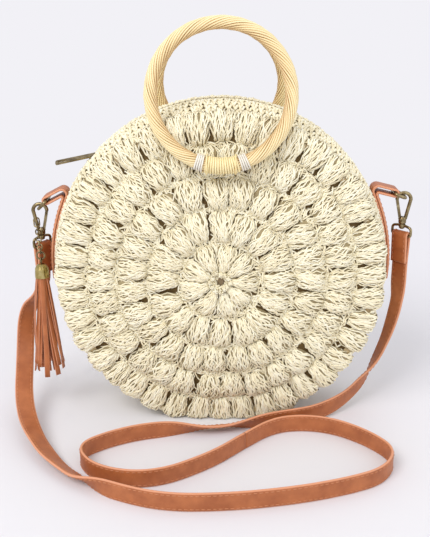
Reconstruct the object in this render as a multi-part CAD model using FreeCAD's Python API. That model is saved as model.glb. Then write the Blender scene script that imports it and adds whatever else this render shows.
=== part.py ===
import FreeCAD, Part
import math
import os
from FreeCAD import Rotation, Vector

# Round crochet bag with two ring handles, a zipped top and a clip-on leather strap.
# Millimetres. +X is the wearer's right in the front view, +Y runs to the back, +Z is up.
# The origin is on the floor, under the middle of the bag.

# Bag body
BAG_RADIUS = 135.0
BAG_CENTRE_Z = 135.0
BAG_DEPTH = 80.0
GUSSET_CROWN = 10.0
WALL = 7.0
PANEL_RIM = 3.0
PANEL_DOME = 12.0
PANEL_THICKNESS = 7.0
# Radii where one round of stitches meets the next, and how far the face dips there
ROUND_SEAMS = (8.0, 34.7, 62.5, 89.0, 114.0)
ROUND_DIP = 3.4
RIM_DIP = 1.6
LINING_INSET = WALL + 3.2
LINING_THICKNESS = 1.0
SEAM_GAP = 0.2
FIT_GAP = 0.3
LINK_GAP = 0.1

# Zip along the top, half spans measured from straight up
ZIP_HALF_DEG = 50.0
TEETH_HALF_DEG = 47.9
STOP_DEG = (48.3, 49.4)
SLIDER_REST_DEG = 45.0
SLIDER_HALF_DEG = 2.6
SLOT_HALF = 7.5
TAPE_OUTER = 18.0
TAPE_THICKNESS = 0.8
TOOTH_ROOT = 5.2
TOOTH_BACK = 4.3
TOOTH_TIP = 3.0
TOOTH_STANDS = 0.8
TEETH_PER_ROW = 50
SLIDER_HALF_WIDTH = 6.6
SLIDER_PLATE = 1.4
SLIDER_LIP = 0.7
SLIDER_REACH = (3.6, 2.6)
POST_HALF_WIDTH = 2.5
PULL_LENGTH = 44.0
PULL_WIDTH = 6.0
PULL_THICKNESS = 1.4
PULL_REST_DEG = 33.0
PULL_BAR_RADIUS = 0.8
PULL_AXIS_RISE = 1.5
PULL_ROLL_DEG = 20.0
PULL_NECK = 7.0
PULL_NECK_INSET = 0.4
PULL_CORNERS = (0.3, 3.0, 1.6)
PULL_WINDOW = (-5.4, 0.8)
PULL_WINDOW_GAP = 0.6
PULL_SLOT = (2.2, 11.0)
PULL_SLOT_HALF = 1.3
PULL_SLOT_CORNER = 1.2
LUG_HALF_WIDTH = 1.2
LUG_FEET = (4.2, 2.7)
LUG_RISES = (4.5, 3.1)
LUG_SINK = 0.3

# Ring handles
HANDLE_RADIUS = 55.5
HANDLE_TUBE = 5.4
HANDLE_LEAN_DEG = {"front": 14.0, "rear": 18.5}
HANDLE_SET = 35.5
HANDLE_BOTTOM_Z = BAG_CENTRE_Z + BAG_RADIUS - HANDLE_SET
HANDLE_AXIS_RISE = 1.2
CANE_WIRE = 0.66
CANE_TURNS = 14
CANE_PITCH = 1.9
THREAD_WIRE = 0.55
THREAD_TURNS = 4
THREAD_PITCH = 1.7
WINDING_GAP = 1.7
WINDING_SEAT = 0.05
ANCHOR_WIRE = 0.6

# Leather
STRAP_WIDTH = 16.0
STRAP_THICKNESS = 2.4
STRAP_STATION = 7.0
STATIONS_PER_FACE = 8
CORNER_SHARE = 0.45
TAB_THICKNESS = 2.2
TAB_BOTTOM_DEG = -5.0
TAB_BEND_DEG = 21.0
TAB_RISE = 22.0
TAB_LOOP = {"left": 29.5, "right": 26.0}
TAB_DROOP_DEG = {"left": 28.0, "right": 14.0}
TAB_FOLD_RADII = (4.5, 1.4)

# Ring, hook and swivel eye at each end of the strap
RING_WIRE = 1.4
RING_SIDE_GAP = 0.6
RING_HALF_WIDTH = STRAP_WIDTH / 2 + RING_SIDE_GAP + RING_WIRE
RING_DEPTH = 10.5
RING_CORNERS = (2.2, 6.0)
RING_DROOP_DEG = {"left": 46.0, "right": 24.0}
HOOK_WIRE = 1.6
HOOK_CROWN = 6.0
HOOK_LEG_FOOT = (2.3, -19.0)
HOOK_LEG_SINK = 1.5
BARREL_RADIUS = 3.4
BARREL_TOP = -18.5
BARREL_BOTTOM = -24.5
BARREL_CROWN_RADIUS = 2.6
BARREL_CROWN_DROP = 1.5
BARREL_FOOT_RADIUS = 2.8
BARREL_FOOT_RISE = 0.8
NECK_RADIUS = 1.5
NECK_END_GAP = 0.4
HEAD_RADIUS = 2.6
HEAD_SIDE = 1.0
HEAD_TIP_RADIUS = 1.6
HEAD_HEIGHT = 1.8
EYE_HEIGHT = 2.2
EYE_RADIUS = 3.0
EYE_WIRE = 1.2
EYE_BAR_DROP = 35.0
EYE_SIDE_GAP = 0.5
EYE_SHOULDER = (2.2, 1.6)
EYE_CORNERS = (3.0, 1.8)
EYE_BORE_GAP = 0.15
EYE_YAW_DEG = {"left": 54.0, "right": -48.0}
GATE_PIVOT = (-2.2, -20.4)
GATE_TIP = (-5.9, -3.4)
GATE_HALF_WIDTH = 1.2
GATE_HALF_THICKNESS = 1.1
GATE_BOSS_RADIUS = 1.5
GATE_SLOT_GAP = 0.2
GATE_SLOT_REACH = 3.0
GATE_SLOT_DROP = 1.9
GATE_SLOT_LENGTH = 5.0
PIN_RADIUS = 0.7
PIN_BORE_GAP = 0.05
PIN_END_INSET = 0.1
STRAP_END_LENGTH = 25.0
STRAP_DROP = 16.0

# Tassel clipped on the left hook
LINK_WIRE = 0.6
LINK_HALF_LENGTH = 2.6
LINK_HALF_WIDTH = 1.9
LINK_PITCH = 2 * LINK_HALF_LENGTH - 2 * LINK_WIRE - SEAM_GAP
CHAIN_LINKS = 7
CHAIN_SLOPE = Vector(-0.20, -0.68, -0.68)
CHAIN_LEG_RISE = 6.4
TASSEL_RING_RADIUS = 3.4
TASSEL_RING_WIRE = 0.8
PIN_LOOP_RADIUS = 2.4
PIN_WIRE = 0.6
PIN_SHANK_GAP = 0.3
PIN_SHANK_LENGTH = 2.2
PIN_HEAD_HEIGHT = 0.8
PIN_HOLE_GAP = 0.15
CAP_HEIGHT = 12.0
CAP_WALL = 0.9
# The cap's outside: radius and share of the height down from its top
CAP_OUTLINE = ((2.4, 0.0), (4.6, 0.13), (5.8, 0.35), (6.1, 0.67), (6.2, 1.0))
FRINGE_STRIPS = 7
FRINGE_LENGTH = 86.0
FRINGE_WIDTH = 2.8
FRINGE_THICKNESS = 1.2
FRINGE_RING = 4.1
FRINGE_FLARE_DEG = 8.0
FRINGE_LEAN_SHARES = (0.55, 0.15)
FRINGE_SHORTER = 0.05
FRINGE_TUCK = 5.0

X_AXIS = Vector(1, 0, 0)
Y_AXIS = Vector(0, 1, 0)
Z_AXIS = Vector(0, 0, 1)
BAG_CENTRE = Vector(0, 0, BAG_CENTRE_Z)
HALF_DEPTH = BAG_DEPTH / 2
CROWN_RADIUS = BAG_RADIUS + GUSSET_CROWN
CROWN_ARC = (HALF_DEPTH**2 + GUSSET_CROWN**2) / (2 * GUSSET_CROWN)
CROWN_DROP_AT_TAPE = CROWN_ARC - math.sqrt(CROWN_ARC**2 - TAPE_OUTER**2)
ZIP_RADIUS = CROWN_RADIUS - WALL - CROWN_DROP_AT_TAPE - FIT_GAP
TAPE_RADII = (ZIP_RADIUS - TAPE_THICKNESS, ZIP_RADIUS)
TOOTH_RADII = (TAPE_RADII[0] - TOOTH_STANDS, TAPE_RADII[1] + TOOTH_STANDS)
SLIDER_RADII = (ZIP_RADIUS - SLIDER_REACH[0], ZIP_RADIUS + SLIDER_REACH[1])
PULL_AXIS_RADIUS = SLIDER_RADII[1] + PULL_AXIS_RISE
# Share of a corner that an arc takes where two of them nearly meet
NEAR_FULL = 0.98
FAR = 400.0
SIDES = {"left": -1, "right": 1}


def save(name, *solids):
    """Write one node: a single solid, or a group of separate ones."""
    shape = solids[0] if len(solids) == 1 else Part.makeCompound(list(solids))
    for solid in solids:
        if not solid.isValid() or solid.Volume <= 0:
            print("BAD SOLID", name, solid.Volume)
    shape.exportStep("parts/" + name + ".step")
    return shape


def one_solid(shape):
    return shape.Solids[0] if len(shape.Solids) == 1 else shape


def mirrored(shape, normal):
    return shape.mirror(Vector(0, 0, 0), normal)


def polar(radius, degrees, y=0.0):
    """A point in the plane of the bag's circle, with degrees counted up from +X."""
    angle = math.radians(degrees)
    return Vector(radius * math.cos(angle), y, BAG_CENTRE_Z + radius * math.sin(angle))


def above_floor(shape, height):
    floor = Part.makeBox(2 * FAR, 2 * FAR, FAR, Vector(-FAR, -FAR, height - FAR))
    return shape.cut(floor)


def rounded_edges(points, radii, closed=False):
    """Straight runs joined by tangent arcs, one radius for each corner."""
    count = len(points)
    corners = range(count) if closed else range(1, count - 1)
    cuts = {}
    for index, radius in zip(corners, radii):
        corner = points[index]
        back = (points[index - 1] - corner).normalize()
        ahead = (points[(index + 1) % count] - corner).normalize()
        half_turn = (math.pi - back.getAngle(ahead)) / 2
        length = radius * math.tan(half_turn)
        middle = (back + ahead).normalize()
        reach = radius / math.cos(half_turn) - radius
        cuts[index] = (corner + back * length, corner + middle * reach, corner + ahead * length)
    edges = []
    for index in range(count if closed else count - 1):
        follow = (index + 1) % count
        start = cuts[index][2] if index in cuts else points[index]
        end = cuts[follow][0] if follow in cuts else points[follow]
        if start.distanceToPoint(end) > 1e-6:
            edges.append(Part.makeLine(start, end))
        if follow in cuts:
            edges.append(Part.Arc(*cuts[follow]).toShape())
    return edges


def biarc(start, heading, end, last_heading):
    """Two arcs that join two points with the given headings."""
    chord = end - start
    both = heading + last_heading
    spread = 2 * (1 - heading.dot(last_heading))
    lean = chord.dot(both)
    reach = (math.sqrt(lean**2 + spread * chord.dot(chord)) - lean) / spread
    first_corner = start + heading * reach
    last_corner = end - last_heading * reach
    middle = (first_corner + last_corner) * 0.5
    arcs = []
    for near, corner, far in ((start, first_corner, middle), (middle, last_corner, end)):
        half_turn = (corner - near).getAngle(far - corner) / 2
        radius = reach / math.tan(half_turn)
        inward = ((near + far) * 0.5 - corner).normalize()
        crest = corner + inward * (radius / math.cos(half_turn) - radius)
        arcs.append(Part.Arc(near, crest, far).toShape())
    return arcs


def wire_along(edges, radius):
    """A round wire that follows tangent edges."""
    first = edges[0]
    start = first.valueAt(first.FirstParameter)
    circle = Part.makeCircle(radius, start, first.tangentAt(first.FirstParameter))
    return Part.Wire(edges).makePipeShell([Part.Wire(circle)], True, False)


def band_along(edges, width, thickness, across):
    """A flat strip that follows tangent edges in the plane square to across."""
    first = edges[0]
    start = first.valueAt(first.FirstParameter)
    normal = first.tangentAt(first.FirstParameter).cross(across).normalize()
    side = across * (width / 2)
    out = normal * (thickness / 2)
    corners = [start + side + out, start + side - out, start - side - out, start - side + out]
    profile = Part.makePolygon(corners + corners[:1])
    return Part.Wire(edges).makePipeShell([profile], True, False)


def turned(profile_points, axis_point, axis):
    """A solid of revolution from a closed outline of straight edges."""
    outline = Part.makePolygon(profile_points + profile_points[:1])
    return Part.Face(outline).revolve(axis_point, axis, 360)


# Bag body: a barrel-edged drum, open at both faces, closed by two domed panels


def drum(inset, floor, half_depth=HALF_DEPTH):
    """The drum's full solid, its curved edge set in by inset and its bottom flat at floor."""
    edge = BAG_RADIUS - inset
    points = [Vector(0, -half_depth, BAG_CENTRE_Z), Vector(0, -half_depth, BAG_CENTRE_Z + edge)]
    points += [Vector(0, half_depth, BAG_CENTRE_Z + edge), Vector(0, half_depth, BAG_CENTRE_Z)]
    top = Vector(0, 0, BAG_CENTRE_Z + edge + GUSSET_CROWN)
    outline = [Part.makeLine(points[0], points[1]), Part.Arc(points[1], top, points[2]).toShape()]
    outline += [Part.makeLine(points[2], points[3]), Part.makeLine(points[3], points[0])]
    solid = Part.Face(Part.Wire(outline)).revolve(BAG_CENTRE, Y_AXIS, 360)
    return above_floor(solid, floor)


def top_wedge(half_degrees):
    """Everything within half_degrees of straight up from the bag's centre."""
    reach = math.tan(math.radians(half_degrees)) * FAR
    corners = [Vector(0, -FAR, BAG_CENTRE_Z), Vector(reach, -FAR, BAG_CENTRE_Z + FAR)]
    corners.append(Vector(-reach, -FAR, BAG_CENTRE_Z + FAR))
    return Part.Face(Part.makePolygon(corners + corners[:1])).extrude(Vector(0, 2 * FAR, 0))


def slit_block(half_width):
    return Part.makeBox(2 * FAR, 2 * half_width, FAR, Vector(-FAR, -half_width, BAG_CENTRE_Z))


DOME_RADIUS = (BAG_RADIUS**2 + PANEL_DOME**2) / (2 * PANEL_DOME)
PANEL_FRONT_Y = -(HALF_DEPTH + PANEL_RIM + PANEL_DOME)
DOME_CENTRE_Y = PANEL_FRONT_Y + DOME_RADIUS


def panel_front_y(radius):
    """How far forward the front panel's face stands at a distance from the bag's centre line."""
    return DOME_CENTRE_Y - math.sqrt(DOME_RADIUS**2 - radius**2)


def build_panel():
    """A domed disc with a padded ridge for each round of stitches, hollowed behind and flat at the foot."""

    def on_face(radius, dip):
        return Vector(0, panel_front_y(radius) + dip, BAG_CENTRE_Z + radius)

    seams = [on_face(radius, ROUND_DIP) for radius in ROUND_SEAMS] + [on_face(BAG_RADIUS, RIM_DIP)]
    middle = Vector(0, seams[0].y, BAG_CENTRE_Z)
    outline = [Part.makeLine(middle, seams[0])]
    for start, end in zip(seams, seams[1:]):
        crest = on_face((start.z + end.z) / 2 - BAG_CENTRE_Z, 0)
        outline.append(Part.Arc(start, crest, end).toShape())
    rim = Vector(0, -HALF_DEPTH, BAG_CENTRE_Z + BAG_RADIUS)
    back = Vector(0, -HALF_DEPTH, BAG_CENTRE_Z)
    outline += [Part.makeLine(seams[-1], rim), Part.makeLine(rim, back), Part.makeLine(back, middle)]
    disc = Part.Face(Part.Wire(outline)).revolve(BAG_CENTRE, Y_AXIS, 360)
    hollow = Part.makeSphere(DOME_RADIUS - PANEL_THICKNESS, Vector(0, DOME_CENTRE_Y, BAG_CENTRE_Z))
    return one_solid(above_floor(disc.cut(hollow), 0))


# Zip: two tapes with teeth, parted by the slit, and a slider that runs along both rows


def arc_band(radii, near, far, half_degrees):
    """A strip along the zip between two distances from the bag's middle plane."""
    corners = [(near, radii[0]), (far, radii[0]), (far, radii[1]), (near, radii[1])]
    points = [Vector(0, y, BAG_CENTRE_Z + radius) for y, radius in corners]
    start = Part.Face(Part.makePolygon(points + points[:1]))
    start.rotate(BAG_CENTRE, Y_AXIS, -half_degrees)
    return start.revolve(BAG_CENTRE, Y_AXIS, 2 * half_degrees)


def build_teeth():
    """The rear row: a bead along the tape's edge with a notch between each pair of teeth."""
    row = arc_band(TOOTH_RADII, TOOTH_TIP, TOOTH_ROOT, TEETH_HALF_DEG)
    step = 2 * TEETH_HALF_DEG / TEETH_PER_ROW
    pitch = math.radians(step) * TOOTH_RADII[1]
    notches = []
    for index in range(TEETH_PER_ROW):
        corner = Vector(-pitch / 4, 0, BAG_CENTRE_Z + TOOTH_RADII[0] - TOOTH_STANDS)
        height = TOOTH_RADII[1] - TOOTH_RADII[0] + 2 * TOOTH_STANDS
        notch = Part.makeBox(pitch / 2, TOOTH_BACK, height, corner)
        notch.rotate(BAG_CENTRE, Y_AXIS, (index + 0.5) * step - TEETH_HALF_DEG)
        notches.append(notch)
    return one_solid(row.cut(Part.makeCompound(notches)))


def build_slider():
    low, high = (BAG_CENTRE_Z + radius for radius in SLIDER_RADII)
    plate = SLIDER_PLATE
    lip = SLIDER_LIP
    half = SLIDER_HALF_WIDTH
    post = POST_HALF_WIDTH
    right = [(half, low), (half, low + plate + lip), (half - lip, low + plate + lip)]
    right += [(half - lip, low + plate), (post, low + plate), (post, high - plate)]
    right += [(half - lip, high - plate), (half - lip, high - plate - lip)]
    right += [(half, high - plate - lip), (half, high)]
    points = [Vector(0, y, z) for y, z in right] + [Vector(0, -y, z) for y, z in reversed(right)]
    section = Part.Face(Part.makePolygon(points + points[:1]))
    section.rotate(BAG_CENTRE, Y_AXIS, -SLIDER_HALF_DEG)
    body = section.revolve(BAG_CENTRE, Y_AXIS, 2 * SLIDER_HALF_DEG)
    arches = []
    for foot_half, rise in zip(LUG_FEET, LUG_RISES):
        feet = [Vector(along, -LUG_HALF_WIDTH, high - LUG_SINK) for along in (-foot_half, foot_half)]
        arches.append((feet[0], Vector(0, -LUG_HALF_WIDTH, high + rise), feet[1]))
    outer, inner = arches
    outline = [Part.Arc(*outer).toShape(), Part.makeLine(outer[2], inner[2])]
    outline += [Part.Arc(*inner).toShape(), Part.makeLine(inner[0], outer[0])]
    lug = Part.Face(Part.Wire(outline)).extrude(Vector(0, 2 * LUG_HALF_WIDTH, 0))
    return one_solid(body.fuse(lug).removeSplitter())


def build_pull():
    """The pull lies along -X from its cross bar, with a window for the bar and a slot near its tip."""
    axis_z = BAG_CENTRE_Z + PULL_AXIS_RADIUS
    half = PULL_WIDTH / 2
    tip = -PULL_LENGTH
    low = axis_z - PULL_THICKNESS / 2
    neck = half - PULL_NECK_INSET
    right = [Vector(0, neck, low), Vector(-PULL_NECK, neck, low), Vector(tip, half, low)]
    corners = right + [Vector(point.x, -point.y, low) for point in reversed(right)]
    radii = list(PULL_CORNERS) + list(reversed(PULL_CORNERS))
    edges = rounded_edges(corners, radii, closed=True)
    plate = Part.Face(Part.Wire(edges)).extrude(Vector(0, 0, PULL_THICKNESS))
    window_half = LUG_HALF_WIDTH + PULL_WINDOW_GAP
    window_corner = Vector(PULL_WINDOW[0], -window_half, low)
    window = Part.makeBox(PULL_WINDOW[1] - PULL_WINDOW[0], 2 * window_half, PULL_THICKNESS, window_corner)
    slot_start, slot_end = (tip + along for along in PULL_SLOT)
    slot_corners = [Vector(slot_start, PULL_SLOT_HALF, low), Vector(slot_end, PULL_SLOT_HALF, low)]
    slot_corners += [Vector(point.x, -point.y, low) for point in reversed(slot_corners)]
    slot_edges = rounded_edges(slot_corners, [PULL_SLOT_CORNER] * 4, closed=True)
    slot = Part.Face(Part.Wire(slot_edges)).extrude(Vector(0, 0, PULL_THICKNESS))
    bar = Part.makeCylinder(PULL_BAR_RADIUS, 2 * neck, Vector(0, -neck, axis_z), Y_AXIS)
    pull = plate.cut(window).cut(slot).fuse(bar).removeSplitter()
    axis_point = Vector(0, 0, axis_z)
    pull.rotate(axis_point, X_AXIS, PULL_ROLL_DEG)
    pull.rotate(axis_point, Y_AXIS, PULL_REST_DEG)
    return one_solid(pull)


# Handles: a ring sewn to the panel at its foot, bound with cane between two whippings of thread


HANDLE_FOOT_RADIUS = HANDLE_BOTTOM_Z + HANDLE_AXIS_RISE - BAG_CENTRE_Z
BINDING_RADIUS = HANDLE_TUBE + 2 * CANE_WIRE + WINDING_SEAT
HANDLE_AXIS_Y = panel_front_y(HANDLE_FOOT_RADIUS) - BINDING_RADIUS - HANDLE_AXIS_RISE - 2 * FIT_GAP
HANDLE_AXIS = Vector(0, HANDLE_AXIS_Y, HANDLE_BOTTOM_Z + HANDLE_AXIS_RISE)


def leaned(shape, side):
    """Tip a handle piece, modelled upright in front, over the bag on its hinge line."""
    shape = shape.copy()
    shape.rotate(HANDLE_AXIS, X_AXIS, -HANDLE_LEAN_DEG[side])
    return shape


def winding(wire, turns, pitch, middle):
    """A wire wound round the ring in arcs of a quarter turn, with the least gap of its loops."""
    ring_centre = Vector(0, HANDLE_AXIS_Y, HANDLE_BOTTOM_Z + HANDLE_RADIUS)
    coil = HANDLE_TUBE + wire + WINDING_SEAT
    span = turns * pitch / HANDLE_RADIUS

    def at(turn):
        along = -math.pi / 2 + middle / HANDLE_RADIUS + span * (turn / turns - 0.5)
        out = Vector(math.cos(along), 0, math.sin(along))
        around = 2 * math.pi * turn
        spoke = out * math.cos(around) + Y_AXIS * math.sin(around)
        return ring_centre + out * HANDLE_RADIUS + spoke * coil

    nudge = 0.01
    quarters = [index / 4 for index in range(4 * turns + 1)]
    points = [at(turn) for turn in quarters]
    headings = [(at(turn + nudge) - at(turn - nudge)).normalize() for turn in quarters]
    lead = headings[0] * (2 * wire)
    tail = headings[-1] * (2 * wire)
    edges = [Part.makeLine(points[0] - lead, points[0])]
    for index in range(4 * turns):
        edges += biarc(points[index], headings[index], points[index + 1], headings[index + 1])
    edges.append(Part.makeLine(points[-1], points[-1] + tail))
    steps = 24
    samples = [at(index / steps) for index in range(steps * turns + 1)]
    pairs = zip(samples, samples[steps:])
    gap = min(first.distanceToPoint(second) for first, second in pairs) - 2 * wire
    return wire_along(edges, wire), gap


def build_handle():
    ring_centre = Vector(0, HANDLE_AXIS_Y, HANDLE_BOTTOM_Z + HANDLE_RADIUS)
    ring = Part.makeTorus(HANDLE_RADIUS, HANDLE_TUBE, ring_centre, Y_AXIS)
    cane, cane_gap = winding(CANE_WIRE, CANE_TURNS, CANE_PITCH, 0)
    reach = (CANE_TURNS * CANE_PITCH + THREAD_TURNS * THREAD_PITCH) / 2 + WINDING_GAP
    threads = [winding(THREAD_WIRE, THREAD_TURNS, THREAD_PITCH, side * reach) for side in (-1, 1)]
    print("winding gaps", round(cane_gap, 2), [round(gap, 2) for _, gap in threads])
    return {"ring": [ring], "cane": [cane], "threads": [solid for solid, _ in threads]}


def build_anchor():
    """Two cane stitches round the bound foot, where the ring's middle line crosses its hinge line."""
    stitches = []
    along = math.acos(1 - HANDLE_AXIS_RISE / HANDLE_RADIUS)
    x = HANDLE_RADIUS * math.sin(along)
    radius = BINDING_RADIUS / math.cos(along) + FIT_GAP + ANCHOR_WIRE
    for side in (-1, 1):
        middle = HANDLE_AXIS + Vector(side * x, 0, 0)
        up = Z_AXIS * radius
        back = Vector(0, 2 * radius, 0)
        corners = [middle + up + back, middle + up - Y_AXIS * radius, middle - up - Y_AXIS * radius]
        corners.append(middle - up + back)
        stitches.append(wire_along(rounded_edges(corners, [radius * NEAR_FULL] * 2), ANCHOR_WIRE))
    return stitches


# Leather tabs on the gusset, folded round a metal ring


def build_tab(side):
    """One strip doubled round the ring's bar; returns it with the bar's centre, both for the right side."""
    inner = CROWN_RADIUS + FIT_GAP + TAB_THICKNESS / 2
    outer = inner + TAB_THICKNESS + SEAM_GAP
    low, bend = TAB_BOTTOM_DEG, TAB_BEND_DEG
    droop = math.radians(TAB_DROOP_DEG[side])
    run = Vector(math.cos(droop), 0, -math.sin(droop))
    under = Vector(-math.sin(droop), 0, -math.cos(droop))
    bend_up = polar(1, bend + 90) - BAG_CENTRE
    turn = RING_WIRE + FIT_GAP + TAB_THICKNESS / 2
    inner_bend = polar(inner, bend)
    outer_bend = polar(outer, bend)
    fold = inner_bend + bend_up * TAB_RISE
    end = fold + run * TAB_LOOP[side]
    back = end + under * (2 * turn)
    # Where the returning layer's line meets the line up from the outer layer
    across = back - outer_bend
    length = (across.x * run.z - across.z * run.x) / (bend_up.x * run.z - bend_up.z * run.x)
    inside_fold = outer_bend + bend_up * length
    corners = [inner_bend, fold, end, back, inside_fold, outer_bend]
    edges = [Part.Arc(polar(inner, low), polar(inner, (low + bend) / 2), inner_bend).toShape()]
    fold_radius, inside_radius = TAB_FOLD_RADII
    edges += rounded_edges(corners, [fold_radius, turn * NEAR_FULL, turn * NEAR_FULL, inside_radius])
    edges.append(Part.Arc(outer_bend, polar(outer, (low + bend) / 2), polar(outer, low)).toShape())
    tab = band_along(edges, STRAP_WIDTH, TAB_THICKNESS, Y_AXIS)
    return tab, end + under * turn - run * turn


def build_ring(bar, side):
    """A D-shaped ring hung on the tab; returns it with the middle of its bow."""
    droop = math.radians(RING_DROOP_DEG[side])
    out = Vector(math.cos(droop), 0, -math.sin(droop)) * RING_DEPTH
    wide = Y_AXIS * RING_HALF_WIDTH
    corners = [bar - wide, bar - wide + out, bar + wide + out, bar + wide]
    edges = rounded_edges(corners, RING_CORNERS + RING_CORNERS[::-1], closed=True)
    return wire_along(edges, RING_WIRE), bar + out


# Snap hook: bent crown and leg, turned barrel with a swivel neck, and a hinged gate


def in_hook(bow, u, w, v=0.0):
    return bow + Vector(u, v, w)


def build_hook(bow):
    crown_w = RING_WIRE + HOOK_WIRE + LINK_GAP - HOOK_CROWN
    foot_u, foot_w = HOOK_LEG_FOOT
    corners = [in_hook(bow, foot_u, foot_w - HOOK_LEG_SINK), in_hook(bow, HOOK_CROWN, crown_w)]
    leg = Part.makeLine(corners[0], corners[1])
    top = in_hook(bow, 0, crown_w + HOOK_CROWN)
    crown = Part.Arc(corners[1], top, in_hook(bow, -HOOK_CROWN, crown_w)).toShape()
    wire = wire_along([leg], HOOK_WIRE).fuse(wire_along([crown], HOOK_WIRE))
    wire = wire.fuse(Part.makeSphere(HOOK_WIRE, corners[1]))
    neck_end = BARREL_BOTTOM - EYE_HEIGHT - 2 * NECK_END_GAP
    outline = [(0, BARREL_TOP), (BARREL_CROWN_RADIUS, BARREL_TOP)]
    outline.append((BARREL_RADIUS, BARREL_TOP - BARREL_CROWN_DROP))
    outline.append((BARREL_RADIUS, BARREL_BOTTOM + BARREL_FOOT_RISE))
    outline += [(BARREL_FOOT_RADIUS, BARREL_BOTTOM), (NECK_RADIUS, BARREL_BOTTOM), (NECK_RADIUS, neck_end)]
    outline += [(HEAD_RADIUS, neck_end), (HEAD_RADIUS, neck_end - HEAD_SIDE)]
    outline += [(HEAD_TIP_RADIUS, neck_end - HEAD_HEIGHT), (0, neck_end - HEAD_HEIGHT)]
    barrel = turned([in_hook(bow, radius, w) for radius, w in outline], bow, Z_AXIS)
    pivot_u, pivot_w = GATE_PIVOT
    slot_half = GATE_HALF_THICKNESS + GATE_SLOT_GAP
    slot_corner = in_hook(bow, pivot_u - GATE_SLOT_REACH, pivot_w - GATE_SLOT_DROP, -slot_half)
    slot = Part.makeBox(GATE_SLOT_LENGTH, 2 * slot_half, BARREL_TOP - BARREL_BOTTOM, slot_corner)
    bore_start = in_hook(bow, pivot_u, pivot_w, -BARREL_RADIUS)
    bore = Part.makeCylinder(PIN_RADIUS + PIN_BORE_GAP, 2 * BARREL_RADIUS, bore_start, Y_AXIS)
    return one_solid(barrel.cut(slot).fuse(wire).cut(bore).removeSplitter())


def build_gate(bow):
    pivot = in_hook(bow, *GATE_PIVOT, -GATE_HALF_THICKNESS)
    tip = in_hook(bow, *GATE_TIP, -GATE_HALF_THICKNESS)
    along = (tip - pivot).normalize()
    aside = along.cross(Y_AXIS) * GATE_HALF_WIDTH
    corners = [pivot + aside, tip + aside, tip - aside, pivot - aside]
    bar = Part.Face(Part.makePolygon(corners + corners[:1])).extrude(Vector(0, 2 * GATE_HALF_THICKNESS, 0))
    boss = Part.makeCylinder(GATE_BOSS_RADIUS, 2 * GATE_HALF_THICKNESS, pivot, Y_AXIS)
    bore = Part.makeCylinder(PIN_RADIUS + PIN_BORE_GAP, 2 * GATE_HALF_THICKNESS, pivot, Y_AXIS)
    return one_solid(bar.fuse(boss).cut(bore).removeSplitter())


def build_gate_pin(bow):
    half = math.sqrt(BARREL_RADIUS**2 - GATE_PIVOT[0] ** 2) - PIN_END_INSET
    return Part.makeCylinder(PIN_RADIUS, 2 * half, in_hook(bow, *GATE_PIVOT, -half), Y_AXIS)


def build_eye(bow, yaw):
    """The swivel eye: a collar on the hook's neck and a wire loop for the strap."""
    top = BARREL_BOTTOM - NECK_END_GAP
    collar = Part.makeCylinder(EYE_RADIUS, EYE_HEIGHT, in_hook(bow, 0, top - EYE_HEIGHT), Z_AXIS)
    shoulder = top - EYE_HEIGHT / 2
    half = STRAP_WIDTH / 2 + EYE_SIDE_GAP + EYE_WIRE
    start, drop = EYE_SHOULDER
    corners = [(start, shoulder), (half, shoulder - drop), (half, -EYE_BAR_DROP)]
    corners += [(-u, w) for u, w in reversed(corners)]
    edges = rounded_edges([in_hook(bow, u, w) for u, w in corners], EYE_CORNERS + EYE_CORNERS[::-1])
    loop = wire_along(edges, EYE_WIRE)
    bore_foot = in_hook(bow, 0, top - 2 * EYE_HEIGHT)
    bore = Part.makeCylinder(NECK_RADIUS + EYE_BORE_GAP, 2 * EYE_HEIGHT, bore_foot, Z_AXIS)
    eye = one_solid(collar.fuse(loop).cut(bore).removeSplitter())
    eye.rotate(bow, Z_AXIS, yaw)
    return eye


def build_strap_end(bow, yaw):
    """The strap's end doubled round the eye's bar, with the place and width of the strap below it."""
    turn = EYE_WIRE + FIT_GAP + STRAP_THICKNESS / 2
    close = STRAP_THICKNESS / 2 + SEAM_GAP / 2
    top = -EYE_BAR_DROP + turn
    low = -EYE_BAR_DROP - STRAP_END_LENGTH
    corners = [in_hook(bow, 0, low, -close), in_hook(bow, 0, top, -turn)]
    corners += [in_hook(bow, 0, top, turn), in_hook(bow, 0, low, close)]
    edges = rounded_edges(corners, [turn * NEAR_FULL] * 2)
    end = band_along(edges, STRAP_WIDTH, STRAP_THICKNESS, X_AXIS)
    end.rotate(bow, Z_AXIS, yaw)
    spin = Rotation(Z_AXIS, yaw)
    return end, bow + spin.multVec(Vector(0, close, low - FIT_GAP)), spin.multVec(X_AXIS)


# Strap: one long leather strip lying free on the floor, mostly on its edge


def lying(x, y, lean=0.0):
    """A floor point of the strap and its width; lean tips its top edge to the front, in degrees."""
    tip = math.radians(lean)
    across = Vector(0, -math.sin(tip), math.cos(tip))
    height = (STRAP_WIDTH * math.cos(tip) + STRAP_THICKNESS * math.sin(tip)) / 2 + SEAM_GAP
    return Vector(x, y, height), across


def hanging(x, y, z, across):
    return Vector(x, y, z), across.normalize()


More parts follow.
